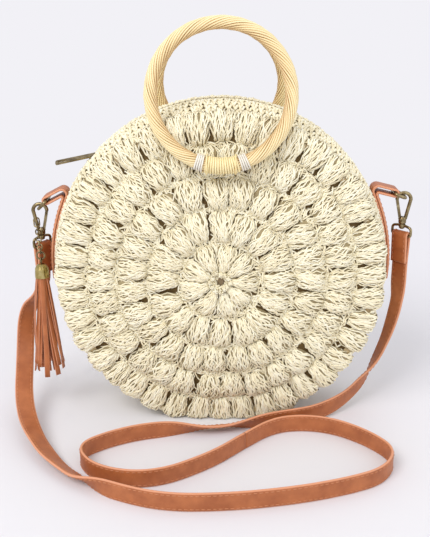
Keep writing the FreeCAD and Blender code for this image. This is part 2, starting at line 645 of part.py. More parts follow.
RIGHT_LEAD = [
    hanging(160, -6, 98, Vector(0.64, -0.77, 0.0)),
    hanging(149, -8, 54, Vector(0.42, -0.6, 0.5)),
    hanging(126, -20, 18, Vector(0.1, -0.2, 1.0)),
]
FLOOR_LOOPS = [
    lying(93, -44),
    lying(54, -57),
    lying(-2, -66, 62),
    lying(-58, -75),
    lying(-98, -86),
    lying(-119, -112),
    lying(-99, -143),
    lying(-60, -151),
    lying(-19, -122),
    lying(14, -91),
    lying(46, -68),
    lying(73, -63),
    lying(100, -70),
    lying(126, -91),
    lying(142, -117),
    lying(128, -144),
    lying(98, -158),
    lying(50, -168),
    lying(-4, -178),
    lying(-54, -181),
    lying(-93, -167),
    lying(-130, -140, 66),
]
LEFT_LEAD = [
    hanging(-157, -108, 10, Vector(-0.45, -0.85, 0.25)),
    hanging(-181, -52, 15, Vector(-0.8, -0.5, -0.1)),
    hanging(-189, 4, 42, Vector(-1.0, -0.3, 0.0)),
    hanging(-178, 10, 84, Vector(-0.85, -0.5, 0.0)),
]


def strap_stations(route):
    """Points and headings along straight runs joined by tangent arcs, and the whole length."""
    points = [point for point, _ in route]
    radii = []
    for before, corner, after in zip(points, points[1:], points[2:]):
        turn = (corner - before).getAngle(after - corner)
        shorter = min((corner - before).Length, (after - corner).Length)
        radii.append(CORNER_SHARE * shorter / math.tan(turn / 2))
    edges = rounded_edges(points, radii)
    total = sum(edge.Length for edge in edges)
    stations = [(points[0], edges[0].tangentAt(edges[0].FirstParameter))]
    for edge in edges:
        pieces = max(1, round(edge.Length / STRAP_STATION))
        for step in range(1, pieces + 1):
            value = edge.FirstParameter + (edge.LastParameter - edge.FirstParameter) * step / pieces
            stations.append((edge.valueAt(value), edge.tangentAt(value)))
    print("strap length", round(total), "least radii", [round(value) for value in sorted(radii)[:6]])
    return stations, total


def across_at(route, point):
    """The width direction at a point, shaded between the two nearest ends of its run."""
    best = None
    for (start, first), (end, last) in zip(route, route[1:]):
        run = end - start
        share = min(max((point - start).dot(run) / run.dot(run), 0.0), 1.0)
        miss = point.distanceToPoint(start + run * share)
        if best is None or miss < best[0]:
            ease = share * share * (3 - 2 * share)
            best = (miss, first * (1 - ease) + last * ease)
    return best[1]


def ruled_face(first, second):
    """The straight-lined surface between two curves with the same knots."""
    surface = Part.BSplineSurface()
    poles = [first.getPoles(), second.getPoles()]
    ends = first.getMultiplicities()
    knots = first.getKnots()
    surface.buildFromPolesMultsKnots(poles, [2, 2], ends, [0.0, 1.0], knots, False, False, 1, first.Degree)
    return surface.toShape()


def build_strap(route):
    """Four ruled faces between curves along the strap's corners, and two flat ends."""
    stations, total = strap_stations(route)
    rows = [[], [], [], []]
    for point, tangent in stations:
        across = across_at(route, point)
        across = (across - tangent * across.dot(tangent)).normalize()
        side = across * (STRAP_WIDTH / 2)
        out = tangent.cross(across) * (STRAP_THICKNESS / 2)
        for row, corner in zip(rows, (side + out, side - out, -side - out, -side + out)):
            row.append(point + corner)
    steps = [first.distanceToPoint(second) for (first, _), (second, _) in zip(stations, stations[1:])]
    lengths = [sum(steps[:index]) for index in range(len(stations))]
    curves = []
    for row in rows:
        curve = Part.BSplineCurve()
        curve.interpolate(Points=row, Parameters=lengths)
        curves.append(curve)
    faces = []
    breaks = list(range(0, len(stations) - 1, STATIONS_PER_FACE)) + [len(stations) - 1]
    for start, stop in zip(breaks, breaks[1:]):
        pieces = [curve.copy() for curve in curves]
        for piece in pieces:
            piece.segment(lengths[start], lengths[stop])
        faces += [ruled_face(pieces[index - 1], pieces[index]) for index in range(4)]
    for end in (0, -1):
        corners = [row[end] for row in rows]
        faces.append(Part.Face(Part.makePolygon(corners + corners[:1])))
    shell = Part.makeShell(faces)
    shell.sewShape()
    strap = Part.Solid(shell)
    if strap.Volume < 0:
        strap.reverse()
    share = strap.Volume / (STRAP_WIDTH * STRAP_THICKNESS * total)
    print("strap volume over section times length", round(share, 3))
    return strap


# Tassel: chain from the left hook's leg, ring, eye pin, bell cap and a fringe of leather strips


def build_link(centre, along, aside, half_length=LINK_HALF_LENGTH, half_width=LINK_HALF_WIDTH):
    """An oval link whose long axis is along and whose flat lies in along and aside."""
    long_reach = along * half_length
    wide_reach = aside * half_width
    corners = [centre + long_reach + wide_reach, centre + long_reach - wide_reach]
    corners += [centre - long_reach - wide_reach, centre - long_reach + wide_reach]
    return wire_along(rounded_edges(corners, [half_width * NEAR_FULL] * 4, closed=True), LINK_WIRE)


def build_tassel(bow):
    """The tassel for a right-hand hook; its chain starts on the hook's plain leg."""
    down = Vector(CHAIN_SLOPE).normalize()
    crown_w = RING_WIRE + HOOK_WIRE + LINK_GAP - HOOK_CROWN
    leg_share = CHAIN_LEG_RISE / (crown_w - HOOK_LEG_FOOT[1])
    leg_u = HOOK_LEG_FOOT[0] + (HOOK_CROWN - HOOK_LEG_FOOT[0]) * leg_share
    leg = in_hook(bow, leg_u, HOOK_LEG_FOOT[1] + CHAIN_LEG_RISE)
    flat = down.cross(X_AXIS).normalize()
    sideways = flat.cross(down)
    normal = sideways.cross(down).normalize()
    leg_reach = HOOK_WIRE / abs(normal.z) + LINK_WIRE + 2 * FIT_GAP
    first_half = leg_reach + 2 * LINK_WIRE
    first_centre = leg + down * (first_half - leg_reach)
    first_width = HOOK_WIRE + LINK_WIRE + 2 * LINK_GAP
    links = [build_link(first_centre, down, sideways, first_half, first_width)]
    centre = first_centre + down * (first_half + LINK_HALF_LENGTH - 2 * LINK_WIRE - LINK_GAP)
    asides = [normal, sideways]
    for index in range(CHAIN_LINKS):
        links.append(build_link(centre, down, asides[index % 2]))
        centre = centre + down * LINK_PITCH
    last = centre - down * LINK_PITCH
    hang = last + down * (LINK_HALF_LENGTH - LINK_WIRE - TASSEL_RING_WIRE - FIT_GAP)
    ring_centre = hang - Z_AXIS * TASSEL_RING_RADIUS
    ring = Part.makeTorus(TASSEL_RING_RADIUS, TASSEL_RING_WIRE, ring_centre, Y_AXIS)
    pin_drop = TASSEL_RING_RADIUS - TASSEL_RING_WIRE - PIN_WIRE - LINK_GAP + PIN_LOOP_RADIUS
    pin_centre = ring_centre - Z_AXIS * pin_drop
    pin_loop = Part.makeTorus(PIN_LOOP_RADIUS, PIN_WIRE, pin_centre, X_AXIS)
    cap_top = pin_centre - Z_AXIS * (PIN_LOOP_RADIUS + PIN_WIRE + PIN_SHANK_GAP)
    shank_top = pin_centre - Z_AXIS * PIN_LOOP_RADIUS
    shank_foot = cap_top - Z_AXIS * (CAP_WALL + PIN_SHANK_LENGTH)
    shank = Part.makeCylinder(PIN_WIRE, (shank_top - shank_foot).Length, shank_foot, Z_AXIS)
    head_foot = shank_foot - Z_AXIS * (PIN_HEAD_HEIGHT / 2)
    head = Part.makeCylinder(2 * PIN_WIRE, PIN_HEAD_HEIGHT, head_foot, Z_AXIS)
    pin = one_solid(pin_loop.fuse(shank).fuse(head).removeSplitter())
    return links, ring, pin, cap_top, hang


def build_cap(top):
    """A round-shouldered bell with a hole for the pin, hollow below."""
    outer = [(radius, -share * CAP_HEIGHT) for radius, share in CAP_OUTLINE]
    inner = [(radius - CAP_WALL, height) for radius, height in reversed(outer[2:])]
    hole = PIN_WIRE + PIN_HOLE_GAP
    shoulder_radius, shoulder_height = outer[1]
    inner += [(shoulder_radius - CAP_WALL, shoulder_height - CAP_WALL), (hole, -CAP_WALL), (hole, 0)]
    return turned([top + Vector(radius, 0, height) for radius, height in outer + inner], top, Z_AXIS)


def build_fringe(top):
    """Flat strips hung in a ring inside the cap's lip, each leaning out by its own amount."""
    strips = []
    start = top - Z_AXIS * (CAP_HEIGHT - FRINGE_TUCK)
    for index in range(FRINGE_STRIPS):
        length = FRINGE_LENGTH * (1 - FRINGE_SHORTER * (index % 3)) + FRINGE_TUCK
        corner = start + Vector(-FRINGE_WIDTH / 2, -FRINGE_RING, -length)
        strip = Part.makeBox(FRINGE_WIDTH, FRINGE_THICKNESS, length, corner)
        least, step = FRINGE_LEAN_SHARES
        lean = FRINGE_FLARE_DEG * (least + step * (index % 4))
        strip.rotate(start - Y_AXIS * FRINGE_RING, X_AXIS, -lean)
        strip.rotate(start, Z_AXIS, index * 360.0 / FRINGE_STRIPS)
        strips.append(strip)
    return strips


os.makedirs("parts", exist_ok=True)

# Bag
panel = build_panel()
save("front_panel", panel)
save("rear_panel", mirrored(panel, Y_AXIS))
edge_ring = drum(0, 0).cut(drum(WALL, WALL))
save("gusset_band", one_solid(edge_ring.cut(top_wedge(ZIP_HALF_DEG))))
seam_deg = math.degrees(SEAM_GAP / BAG_RADIUS)
top_cover = edge_ring.common(top_wedge(ZIP_HALF_DEG - seam_deg)).cut(slit_block(SLOT_HALF))
rear_strip = [solid for solid in top_cover.Solids if solid.CenterOfMass.y > 0][0]
save("top_strip_rear", rear_strip)
save("top_strip_front", mirrored(rear_strip, Y_AXIS))
lining_out = drum(LINING_INSET, WALL + FIT_GAP, HALF_DEPTH - FIT_GAP)
lining_half = HALF_DEPTH - FIT_GAP - LINING_THICKNESS
lining_in = drum(LINING_INSET + LINING_THICKNESS, WALL + FIT_GAP + LINING_THICKNESS, lining_half)
mouth = top_wedge(ZIP_HALF_DEG - seam_deg).common(slit_block(SLOT_HALF + 0.5))
save("lining", one_solid(lining_out.cut(lining_in).cut(mouth)))

# Zip
tape = arc_band(TAPE_RADII, TOOTH_ROOT, TAPE_OUTER, ZIP_HALF_DEG - 2 * seam_deg)
teeth = build_teeth()
save("zip_tape_rear", tape)
save("zip_tape_front", mirrored(tape, Y_AXIS))
save("zip_teeth_rear", teeth)
save("zip_teeth_front", mirrored(teeth, Y_AXIS))
stop_half = (STOP_DEG[1] - STOP_DEG[0]) / 2
stops = []
for side in (-1, 1):
    stop = arc_band(TOOTH_RADII, -TOOTH_ROOT, TOOTH_ROOT, stop_half)
    stop.rotate(BAG_CENTRE, Y_AXIS, side * (STOP_DEG[0] + stop_half))
    stops.append(stop)
save("zip_stops", *stops)
slider = build_slider()
pull = build_pull()
for name, piece in (("zip_slider", slider), ("zip_pull", pull)):
    piece.rotate(BAG_CENTRE, Y_AXIS, -SLIDER_REST_DEG)
    save(name, piece)

# Handles
for name, solids in build_handle().items():
    save("front_handle_" + name, *[leaned(solid, "front") for solid in solids])
    save("rear_handle_" + name, *[mirrored(leaned(solid, "rear"), Y_AXIS) for solid in solids])
anchors = [one_solid(stitch.cut(panel)) for stitch in build_anchor()]
anchors = [max(stitch.Solids, key=lambda solid: -solid.CenterOfMass.y) for stitch in anchors]
save("front_handle_anchor", *anchors)
save("rear_handle_anchor", *[mirrored(solid, Y_AXIS) for solid in anchors])

# Tabs, rings, hooks and strap ends, modelled on the right and mirrored for the left
strap_ends = {}
for side, sign in SIDES.items():
    tab, bar = build_tab(side)
    metal_ring, bow = build_ring(bar, side)
    yaw = EYE_YAW_DEG[side] * sign
    end, joint, across = build_strap_end(bow, yaw)
    pieces = {
        "tab": tab,
        "ring": metal_ring,
        "hook": build_hook(bow),
        "gate": build_gate(bow),
        "gate_pin": build_gate_pin(bow),
        "swivel_eye": build_eye(bow, yaw),
        "strap_end": end,
    }
    if side == "left":
        links, tassel_ring, tassel_pin, cap_top, hang = build_tassel(bow)
        pieces["tassel_cap"] = build_cap(cap_top)
        pieces["tassel_ring"] = tassel_ring
        pieces["tassel_pin"] = tassel_pin
        save("tassel_chain", *[mirrored(link, X_AXIS) for link in links])
        save("tassel_fringe", *[mirrored(strip, X_AXIS) for strip in build_fringe(cap_top)])
        print("tassel hangs at", Vector(-hang.x, hang.y, hang.z))
        joint = Vector(-joint.x, joint.y, joint.z)
        across = Vector(-across.x, across.y, across.z)
    for piece_name, shape in pieces.items():
        name = piece_name if piece_name.startswith("tassel") else side + "_" + piece_name
        save(name, mirrored(shape, X_AXIS) if sign < 0 else shape)
    strap_ends[side] = (joint, across)
    print(side, "bar", bar, "bow", bow, "strap from", joint)

# Strap
drops = {side: (point - Z_AXIS * STRAP_DROP, across) for side, (point, across) in strap_ends.items()}
route = [strap_ends["right"], drops["right"]] + RIGHT_LEAD + FLOOR_LOOPS
route += LEFT_LEAD + [drops["left"], strap_ends["left"]]
save("strap", build_strap(route))
print("handle axis", HANDLE_AXIS, "pull axis radius", PULL_AXIS_RADIUS)
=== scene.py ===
import math

import bpy
import numpy as np
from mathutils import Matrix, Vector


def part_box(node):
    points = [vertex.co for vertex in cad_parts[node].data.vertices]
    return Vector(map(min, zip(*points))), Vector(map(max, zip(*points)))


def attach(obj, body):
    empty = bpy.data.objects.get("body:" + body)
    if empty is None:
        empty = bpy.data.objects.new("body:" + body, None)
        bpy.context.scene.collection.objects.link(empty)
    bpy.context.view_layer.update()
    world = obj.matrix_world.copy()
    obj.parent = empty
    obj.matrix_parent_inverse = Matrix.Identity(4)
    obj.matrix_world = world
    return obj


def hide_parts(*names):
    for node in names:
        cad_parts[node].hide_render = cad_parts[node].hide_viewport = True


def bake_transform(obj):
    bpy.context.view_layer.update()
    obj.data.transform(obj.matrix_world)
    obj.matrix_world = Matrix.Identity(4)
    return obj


# Round crochet bag with ring handles, a zipped top and a clip-on leather strap. Metres throughout.

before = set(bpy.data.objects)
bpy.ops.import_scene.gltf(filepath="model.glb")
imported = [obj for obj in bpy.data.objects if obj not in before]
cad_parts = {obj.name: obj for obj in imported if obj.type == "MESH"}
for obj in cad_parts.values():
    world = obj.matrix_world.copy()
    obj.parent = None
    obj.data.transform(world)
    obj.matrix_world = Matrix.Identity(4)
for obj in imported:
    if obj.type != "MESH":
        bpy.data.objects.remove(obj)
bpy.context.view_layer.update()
rng = np.random.default_rng(7)

# Sizes of the bag, as in the solids
BAG_RADIUS = 0.135
BAG_CENTRE_Z = 0.135
HALF_DEPTH = 0.040
GUSSET_CROWN = 0.010
WALL = 0.007
PANEL_RIM = 0.003
PANEL_DOME = 0.012
DOME_RADIUS = (BAG_RADIUS**2 + PANEL_DOME**2) / (2 * PANEL_DOME)
ZIP_HALF = math.radians(50)
SLOT_HALF = 0.0075
TAPE_OUTER = 0.018
TAPE_EDGE = 0.0052
TAPE_THICKNESS = 0.0008
ZIP_RADIUS = 0.13577
LINING_INSET = 0.0102
LINING_GAP = 0.0006
FLOOR_GAP = 0.0017

# Ring handles
HANDLE_RADIUS = 0.0555
HANDLE_TUBE = 0.0054
HANDLE_LEAN = {-1: math.radians(14), 1: math.radians(18.5)}
HANDLE_BOTTOM_Z = 0.2345
HANDLE_AXIS = np.array([0.0, -0.056917, 0.2357])
CANE_TURNS = 14
CANE_PITCH = 0.0019
CANE_WIRE = 0.00090
CANE_DEPTH = 0.00137
THREAD_TURNS = 4
THREAD_PITCH = 0.0017
THREAD_WIRE = 0.00078
WINDING_GAP = 0.0012
ANCHOR_WIRE = 0.0006
ANCHOR_GAP = 0.0009
ANCHOR_REACH = 0.014

# Leather
STRAP_WIDTH = 0.016
STRAP_THICKNESS = 0.0024
TAB_THICKNESS = 0.0022
STITCH_LENGTH = 0.0027
STITCH_PITCH = 0.0043
STITCH_INSET = 0.0022
STITCH_THREAD = 0.00042
# How far a stitch stands off the leather, at five places along it
STITCH_ARCH = np.array([-0.00025, 0.00004, 0.00010, 0.00004, -0.00025])


# Meshes from whole arrays: a shape is its vertices, quads, UVs and a shade for each vertex

# A strand is deepest in shade underneath, and each has a tone of its own
UNDERSIDE_SHADE = 0.75
STRAND_TONE = 0.5


def unit(vectors):
    return vectors / np.linalg.norm(vectors, axis=-1, keepdims=True)


def length_of(points):
    return np.linalg.norm(np.diff(points, axis=0), axis=-1).sum()


def places(*axes):
    """Points from their values along each axis."""
    return np.stack(np.broadcast_arrays(*axes), axis=-1)


def spokes(count):
    """Angles that share a whole turn evenly."""
    return np.arange(count) * 2 * np.pi / count


def row_of(values, kind=np.float32):
    """Values as one row of numbers."""
    return np.ascontiguousarray(values, dtype=kind).ravel()


def new_object(name, data):
    obj = bpy.data.objects.new(name, data)
    bpy.context.collection.objects.link(obj)
    return obj


def make_object(name, shape, materials):
    """A smooth mesh object from a shape, which may end with the number of a material for each quad."""
    verts, quads, uv, shade, *material_index = shape
    mesh = bpy.data.meshes.new(name)
    mesh.vertices.add(len(verts))
    mesh.vertices.foreach_set("co", row_of(verts))
    mesh.loops.add(quads.size)
    mesh.loops.foreach_set("vertex_index", row_of(quads, np.int32))
    mesh.polygons.add(len(quads))
    mesh.polygons.foreach_set("loop_start", np.arange(0, quads.size, 4, dtype=np.int32))
    mesh.polygons.foreach_set("use_smooth", np.ones(len(quads), dtype=bool))
    layer = mesh.uv_layers.new(name="UVMap")
    layer.data.foreach_set("uv", row_of(uv[quads.ravel()]))
    attribute = mesh.attributes.new("shade", "FLOAT", "POINT")
    attribute.data.foreach_set("value", row_of(shade))
    for material in materials:
        mesh.materials.append(material)
    if material_index:
        mesh.polygons.foreach_set("material_index", material_index[0])
    mesh.update(calc_edges=True)
    return new_object(name, mesh)


def piece(name, shape, materials, body, slot, *nodes):
    """An object that rides on its body, takes its materials and stands for its solids."""
    obj = make_object(name, shape, materials)
    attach(obj, body)
    if nodes:
        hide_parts(*nodes)


def sweep(paths, across, sections, section_shade=0.0, path_shade=0.0):
    """Sweep a closed section along each of several open paths and close both ends.

    paths is (n, m, 3), across the section's first direction there, and sections (k, 2) or
    (n, m, k, 2) offsets along the first direction and the one square to it.
    """
    count, steps, _ = paths.shape
    tangent = unit(np.gradient(paths, axis=1))
    across = unit(across - tangent * np.sum(across * tangent, axis=-1, keepdims=True))
    normal = np.cross(tangent, across)
    sections = np.broadcast_to(sections, (count, steps) + sections.shape[-2:])
    sides = sections.shape[2]
    aside = across[:, :, None] * sections[..., :1]
    rings = paths[:, :, None] + aside + normal[:, :, None] * sections[..., 1:]
    first = np.repeat(paths[:, :1, None], sides, axis=2)
    last = np.repeat(paths[:, -1:, None], sides, axis=2)
    rings = np.concatenate([first, rings, last], axis=1)
    steps += 2
    gone = np.linalg.norm(np.diff(paths, axis=1), axis=-1).cumsum(axis=1)
    along = np.concatenate([np.zeros((count, 2)), gone, gone[:, -1:]], axis=1)
    start = rng.random((count, 1)) * 0.5
    uv = np.empty((count, steps, sides, 2))
    uv[..., 0] = (along + start)[:, :, None]
    uv[..., 1] = np.arange(sides) / sides
    shade = np.zeros((count, steps, sides)) + section_shade + np.reshape(path_shade, (-1, 1, 1))
    index = np.arange(count * steps * sides).reshape(count, steps, sides)
    near = index[:, :-1]
    far = index[:, 1:]
    quads = np.stack([near, np.roll(near, -1, axis=2), np.roll(far, -1, axis=2), far], axis=-1)
    return rings.reshape(-1, 3), quads.reshape(-1, 4), uv.reshape(-1, 2), shade.ravel()


def round_section(radius, sides):
    turn = spokes(sides)
    circle = places(np.cos(turn), np.sin(turn))
    return circle * np.asarray(radius)[..., None, None]


def join(*shapes):
    """Several shapes as one."""
    verts, quads, uv, shade = zip(*shapes)
    offsets = np.cumsum([0] + [len(part) for part in verts])
    quads = [part + offset for part, offset in zip(quads, offsets)]
    return tuple(np.concatenate(parts) for parts in (verts, quads, uv, shade))


def strands(paths, out, radius, sides, tone=None):
    """Round strands along paths that lie on a surface whose outward direction is out."""
    tangent = np.gradient(paths, axis=1)
    across = np.cross(tangent, np.broadcast_to(out, paths.shape))
    if tone is None:
        tone = rng.random(len(paths))
    # Painted shade: each strand is darker on its underside, towards the grooves between strands
    underside = UNDERSIDE_SHADE * (0.5 + 0.5 * np.sin(spokes(sides))) ** 0.8
    return sweep(paths, across, round_section(radius, sides), underside, STRAND_TONE * tone)


def grids(points, shade=0.0):
    """Sheets through an (n, rows, columns, 3) array of points."""
    count, rows, columns, _ = points.shape
    index = np.arange(count * rows * columns).reshape(count, rows, columns)
    corners = [index[:, :-1, :-1], index[:, :-1, 1:], index[:, 1:, 1:], index[:, 1:, :-1]]
    quads = np.stack(corners, axis=-1).reshape(-1, 4)
    u, v = np.meshgrid(np.linspace(0, 1, rows), np.linspace(0, 1, columns), indexing="ij")
    uv = np.broadcast_to(np.stack([u, v], axis=-1), (count, rows, columns, 2))
    return points.reshape(-1, 3), quads, uv.reshape(-1, 2), np.full(index.size, shade)


def grid(points):
    """A sheet through a (rows, columns, 3) array of points."""
    return grids(points[None])


# Materials

WHITE = (1.0, 1.0, 1.0)


class Tree:
    """The nodes of a material or a world."""

    def __init__(self, owner):
        owner.use_nodes = True
        self.nodes = owner.node_tree.nodes
        self.links = owner.node_tree.links

    def feed(self, node, inputs):
        """Give each input, by name or number, a value or a link from another node's socket."""
        for key, value in inputs.items():
            if isinstance(value, bpy.types.NodeSocket):
                self.links.new(value, node.inputs[key])
            else:
                node.inputs[key].default_value = value

    def add(self, kind, inputs, **settings):
        node = self.nodes.new(kind)
        for key, value in settings.items():
            setattr(node, key, value)
        self.feed(node, inputs)
        return node

    def math(self, operation, first, second):
        return self.add("ShaderNodeMath", {0: first, 1: second}, operation=operation).outputs[0]

    def seen(self):
        """1 for rays from the camera, gloss or glass, and 0 for the light that falls on things."""
        rays = self.add("ShaderNodeLightPath", {}).outputs
        share = rays["Is Camera Ray"]
        for name in ("Is Glossy Ray", "Is Transmission Ray"):
            share = self.math("MAXIMUM", share, rays[name])
        return share

    def show(self, share, first, second, output):
        """Mix two shaders by share and send them to the output."""
        blend = self.add("ShaderNodeMixShader", {0: share, 1: first, 2: second})
        self.feed(self.nodes[output], {"Surface": blend.outputs["Shader"]})


class Paint(Tree):
    """One material with its shader."""

    def __init__(self, name, roughness, metallic=0.0):
        self.material = bpy.data.materials.new(name)
        super().__init__(self.material)
        self.shader = self.nodes["Principled BSDF"]
        self.feed(self.shader, {"Roughness": roughness, "Metallic": metallic})

    def coordinates(self, kind="Object", scale=(1.0, 1.0, 1.0)):
        """Object or UV coordinates, stretched by scale."""
        source = self.add("ShaderNodeTexCoord", {}).outputs[kind]
        return self.add("ShaderNodeMapping", {"Vector": source, "Scale": scale}).outputs["Vector"]

    def noise(self, vector, scale, detail=4.0, roughness=0.55):
        inputs = {"Vector": vector, "Scale": scale, "Detail": detail, "Roughness": roughness}
        return self.add("ShaderNodeTexNoise", inputs).outputs["Fac"]

    def ramp(self, value, stops):
        """Colours at given values."""
        node = self.add("ShaderNodeValToRGB", {"Fac": value})
        elements = node.color_ramp.elements
        while len(elements) < len(stops):
            elements.new(0.5)
        for element, (position, colour) in zip(elements, stops):
            element.position = position
            element.color = (*colour, 1.0)
        return node.outputs["Color"]

    def mix(self, share, first, second, blend="MIX"):
        """Two colours mixed by share; 6 and 7 are the node's colour inputs."""
        inputs = {0: share}
        for key, colour in ((6, first), (7, second)):
            inputs[key] = (*colour, 1.0) if isinstance(colour, tuple) else colour
        return self.add("ShaderNodeMix", inputs, data_type="RGBA", blend_type=blend).outputs[2]

    def shade(self):
        return self.add("ShaderNodeAttribute", {}, attribute_name="shade").outputs["Fac"]

    def bump(self, height, strength, distance):
        inputs = {"Height": height, "Strength": strength, "Distance": distance}
        self.feed(self.shader, {"Normal": self.add("ShaderNodeBump", inputs).outputs["Normal"]})

    def colour(self, colour):
        self.feed(self.shader, {"Base Color": colour})


def yarn_material(name, pale, dark, shadow_colour):
    """Crumpled paper yarn: streaks along each strand, a tone of its own and painted shade on its
    underside.
    """
    paint = Paint(name, roughness=0.8)
    streaks = paint.noise(paint.coordinates("UV", (260.0, 5.0, 1.0)), 1.0, 5.0, 0.6)
    base = paint.ramp(paint.shade(), [(0.05, pale), (0.55, dark), (1.0, shadow_colour)])
    folds = paint.ramp(streaks, [(0.30, (0.55, 0.40, 0.20)), (0.44, WHITE)])
    paint.colour(paint.mix(0.7, base, folds, "MULTIPLY"))
    paint.bump(streaks, 0.5, 0.0005)
    return paint.material


def plain_material(name, pale, dark, scale, roughness, bump):
    """A matt surface mottled between two colours, with a fine grain."""
    paint = Paint(name, roughness=roughness)
    vector = paint.coordinates()
    paint.colour(paint.mix(paint.noise(vector, scale), pale, dark))
    paint.bump(paint.noise(vector, scale * 6), bump, 0.0004)
    return paint.material


def leather_material():
    """Vegetable-tanned leather: pores, soft mottling and paler cut edges."""
    paint = Paint("leather", roughness=0.46)
    vector = paint.coordinates()
    mottle = paint.noise(vector, 70.0, 3.0)
    body = paint.ramp(mottle, [(0.3, (0.35, 0.098, 0.027)), (0.7, (0.50, 0.160, 0.050))])
    pores = paint.add("ShaderNodeTexVoronoi", {"Vector": vector, "Scale": 1500.0}, feature="F1")
    fine = paint.noise(vector, 420.0, 5.0)
    paint.colour(paint.mix(paint.shade(), body, (0.74, 0.33, 0.18)))
    paint.bump(paint.math("ADD", pores.outputs["Distance"], fine), 0.30, 0.0003)
    return paint.material


def rattan_material(name, pale, dark, shadow_colour, roughness):
    """Split cane: long fibres, a satin skin, strands of slightly different tone and painted shade in the
    grooves between them.
    """
    paint = Paint(name, roughness=roughness)
    fibres = paint.noise(paint.coordinates("UV", (30.0, 14.0, 1.0)), 1.0, 6.0, 0.65)
    base = paint.ramp(paint.shade(), [(0.05, pale), (0.5, dark), (0.9, shadow_colour)])
    lines = paint.ramp(fibres, [(0.35, (0.66, 0.48, 0.28)), (0.55, WHITE)])
    paint.colour(paint.mix(0.6, base, lines, "MULTIPLY"))
    paint.bump(fibres, 0.25, 0.0004)
    return paint.material


def brass_material(name, dark, middle, bright, roughness):
    """Antique brass: brown in the hollows, rubbed bright in patches."""
    paint = Paint(name, roughness=roughness, metallic=1.0)
    patches = paint.noise(paint.coordinates(), 200.0)
    paint.colour(paint.ramp(patches, [(0.28, dark), (0.52, middle), (0.75, bright)]))
    scratches = paint.noise(paint.coordinates(scale=(1.0, 1.0, 0.15)), 1400.0, 3.0)
    paint.bump(scratches, 0.12, 0.0002)
    return paint.material


def weave_material(name, pale, dark, threads):
    """Plain woven cloth: two sets of bands that cross, finer for more threads."""
    paint = Paint(name, roughness=0.85)
    inputs = {"Vector": paint.coordinates(), "Scale": threads, "Distortion": 1.5}
    bands = []
    for direction in ("X", "Z"):
        wave = paint.add("ShaderNodeTexWave", inputs, wave_type="BANDS", bands_direction=direction)
        bands.append(wave.outputs["Fac"])
    cloth = paint.math("MULTIPLY", *bands)
    paint.colour(paint.mix(cloth, dark, pale))
    paint.bump(cloth, 0.4, 0.0003)
    return paint.material


YARN = yarn_material("paper_yarn", (0.99, 0.96, 0.79), (0.94, 0.85, 0.59), (0.20, 0.13, 0.03))
# A dark sheet under the crochet, painted shadow for the holes between the stitches
GAP = plain_material("painted_gap_shadow", (0.16, 0.10, 0.03), (0.08, 0.045, 0.012), 300.0, 0.95, 0.4)
# Yarn under the gusset's and top strips' stitches, its colour painted darker for the shade between them
YARN_GROUND = plain_material("yarn_ground_in_painted_shade", (0.70, 0.56, 0.33), (0.48, 0.34, 0.16), 400.0, 0.9, 0.5)
LINING = weave_material("lining_cloth", (0.56, 0.42, 0.26), (0.42, 0.30, 0.17), 420.0)
TAPE = weave_material("zip_tape", (0.72, 0.60, 0.42), (0.54, 0.42, 0.26), 700.0)
LEATHER = leather_material()
STITCH = plain_material("stitching", (0.60, 0.25, 0.12), (0.46, 0.17, 0.07), 900.0, 0.8, 0.3)
RATTAN = rattan_material("rattan", (0.99, 0.90, 0.56), (0.92, 0.73, 0.39), (0.50, 0.27, 0.09), 0.34)
CANE = rattan_material("cane_binding", (0.99, 0.90, 0.53), (0.97, 0.79, 0.41), (0.50, 0.28, 0.08), 0.30)
THREAD = yarn_material("white_thread", (0.93, 0.90, 0.82), (0.84, 0.79, 0.68), (0.55, 0.46, 0.32))
BRASS = brass_material("antique_brass", (0.10, 0.07, 0.03), (0.27, 0.21, 0.11), (0.47, 0.39, 0.22), 0.27)
BRIGHT_BRASS = brass_material(
    "rubbed_brass", (0.30, 0.23, 0.07), (0.43, 0.34, 0.13), (0.58, 0.49, 0.24), 0.20
)


# Camera and light at the photograph's angle

CAMERA_PLACE = (-0.0048, -0.6884, 0.371)
CAMERA_DIP_DEGREES = 19.4
CAMERA_LENS = 54.4
SENSOR_HEIGHT = 36.0
# Name, place, width and power of each lamp
LAMPS = (
    ("key", (-1.5, -2.0, 2.6), 1.8, 62.0),
    ("fill", (2.4, -2.0, 1.6), 3.0, 22.0),
    ("back", (0.4, 1.7, 2.8), 2.0, 10.0),
)
LAMP_AIM = np.array([0.0, 0.0, 0.12])
LIGHT_ALL_ROUND = 0.84
FLOOR_REACH = 40.0
# Distances from the bag between which the floor fades
FADE_START = 0.30
FADE_END = 1.20
# The tone that the floor and the air behind it fade to
PALE = (0.888, 0.880, 0.922, 1.0)


def floor_material():
    """A matt floor that keeps the bag's shadow and fades with distance from it to the pale tone."""
    paint = Paint("floor", roughness=0.9)
    paint.colour((0.785, 0.775, 0.80, 1.0))
    away = paint.add("ShaderNodeVectorMath", {0: paint.coordinates()}, operation="LENGTH")
    fade = {"Value": away.outputs["Value"], "From Min": FADE_START, "From Max": FADE_END}
    far = paint.add("ShaderNodeMapRange", fade, interpolation_type="SMOOTHSTEP").outputs["Result"]
    glow = paint.add("ShaderNodeEmission", {"Color": PALE}).outputs["Emission"]
    share = paint.math("MULTIPLY", paint.seen(), far)
    paint.show(share, paint.shader.outputs["BSDF"], glow, "Material Output")
    return paint.material


def studio_world():
    """Soft light from all round, seen as the pale tone."""
    world = bpy.data.worlds.new("studio")
    tree = Tree(world)
    light = tree.nodes["Background"]
    tree.feed(light, {"Color": (0.86, 0.86, 0.90, 1.0), "Strength": LIGHT_ALL_ROUND})
    behind = tree.add("ShaderNodeBackground", {"Color": PALE})
    tree.show(tree.seen(), light.outputs["Background"], behind.outputs["Background"], "World Output")
    return world


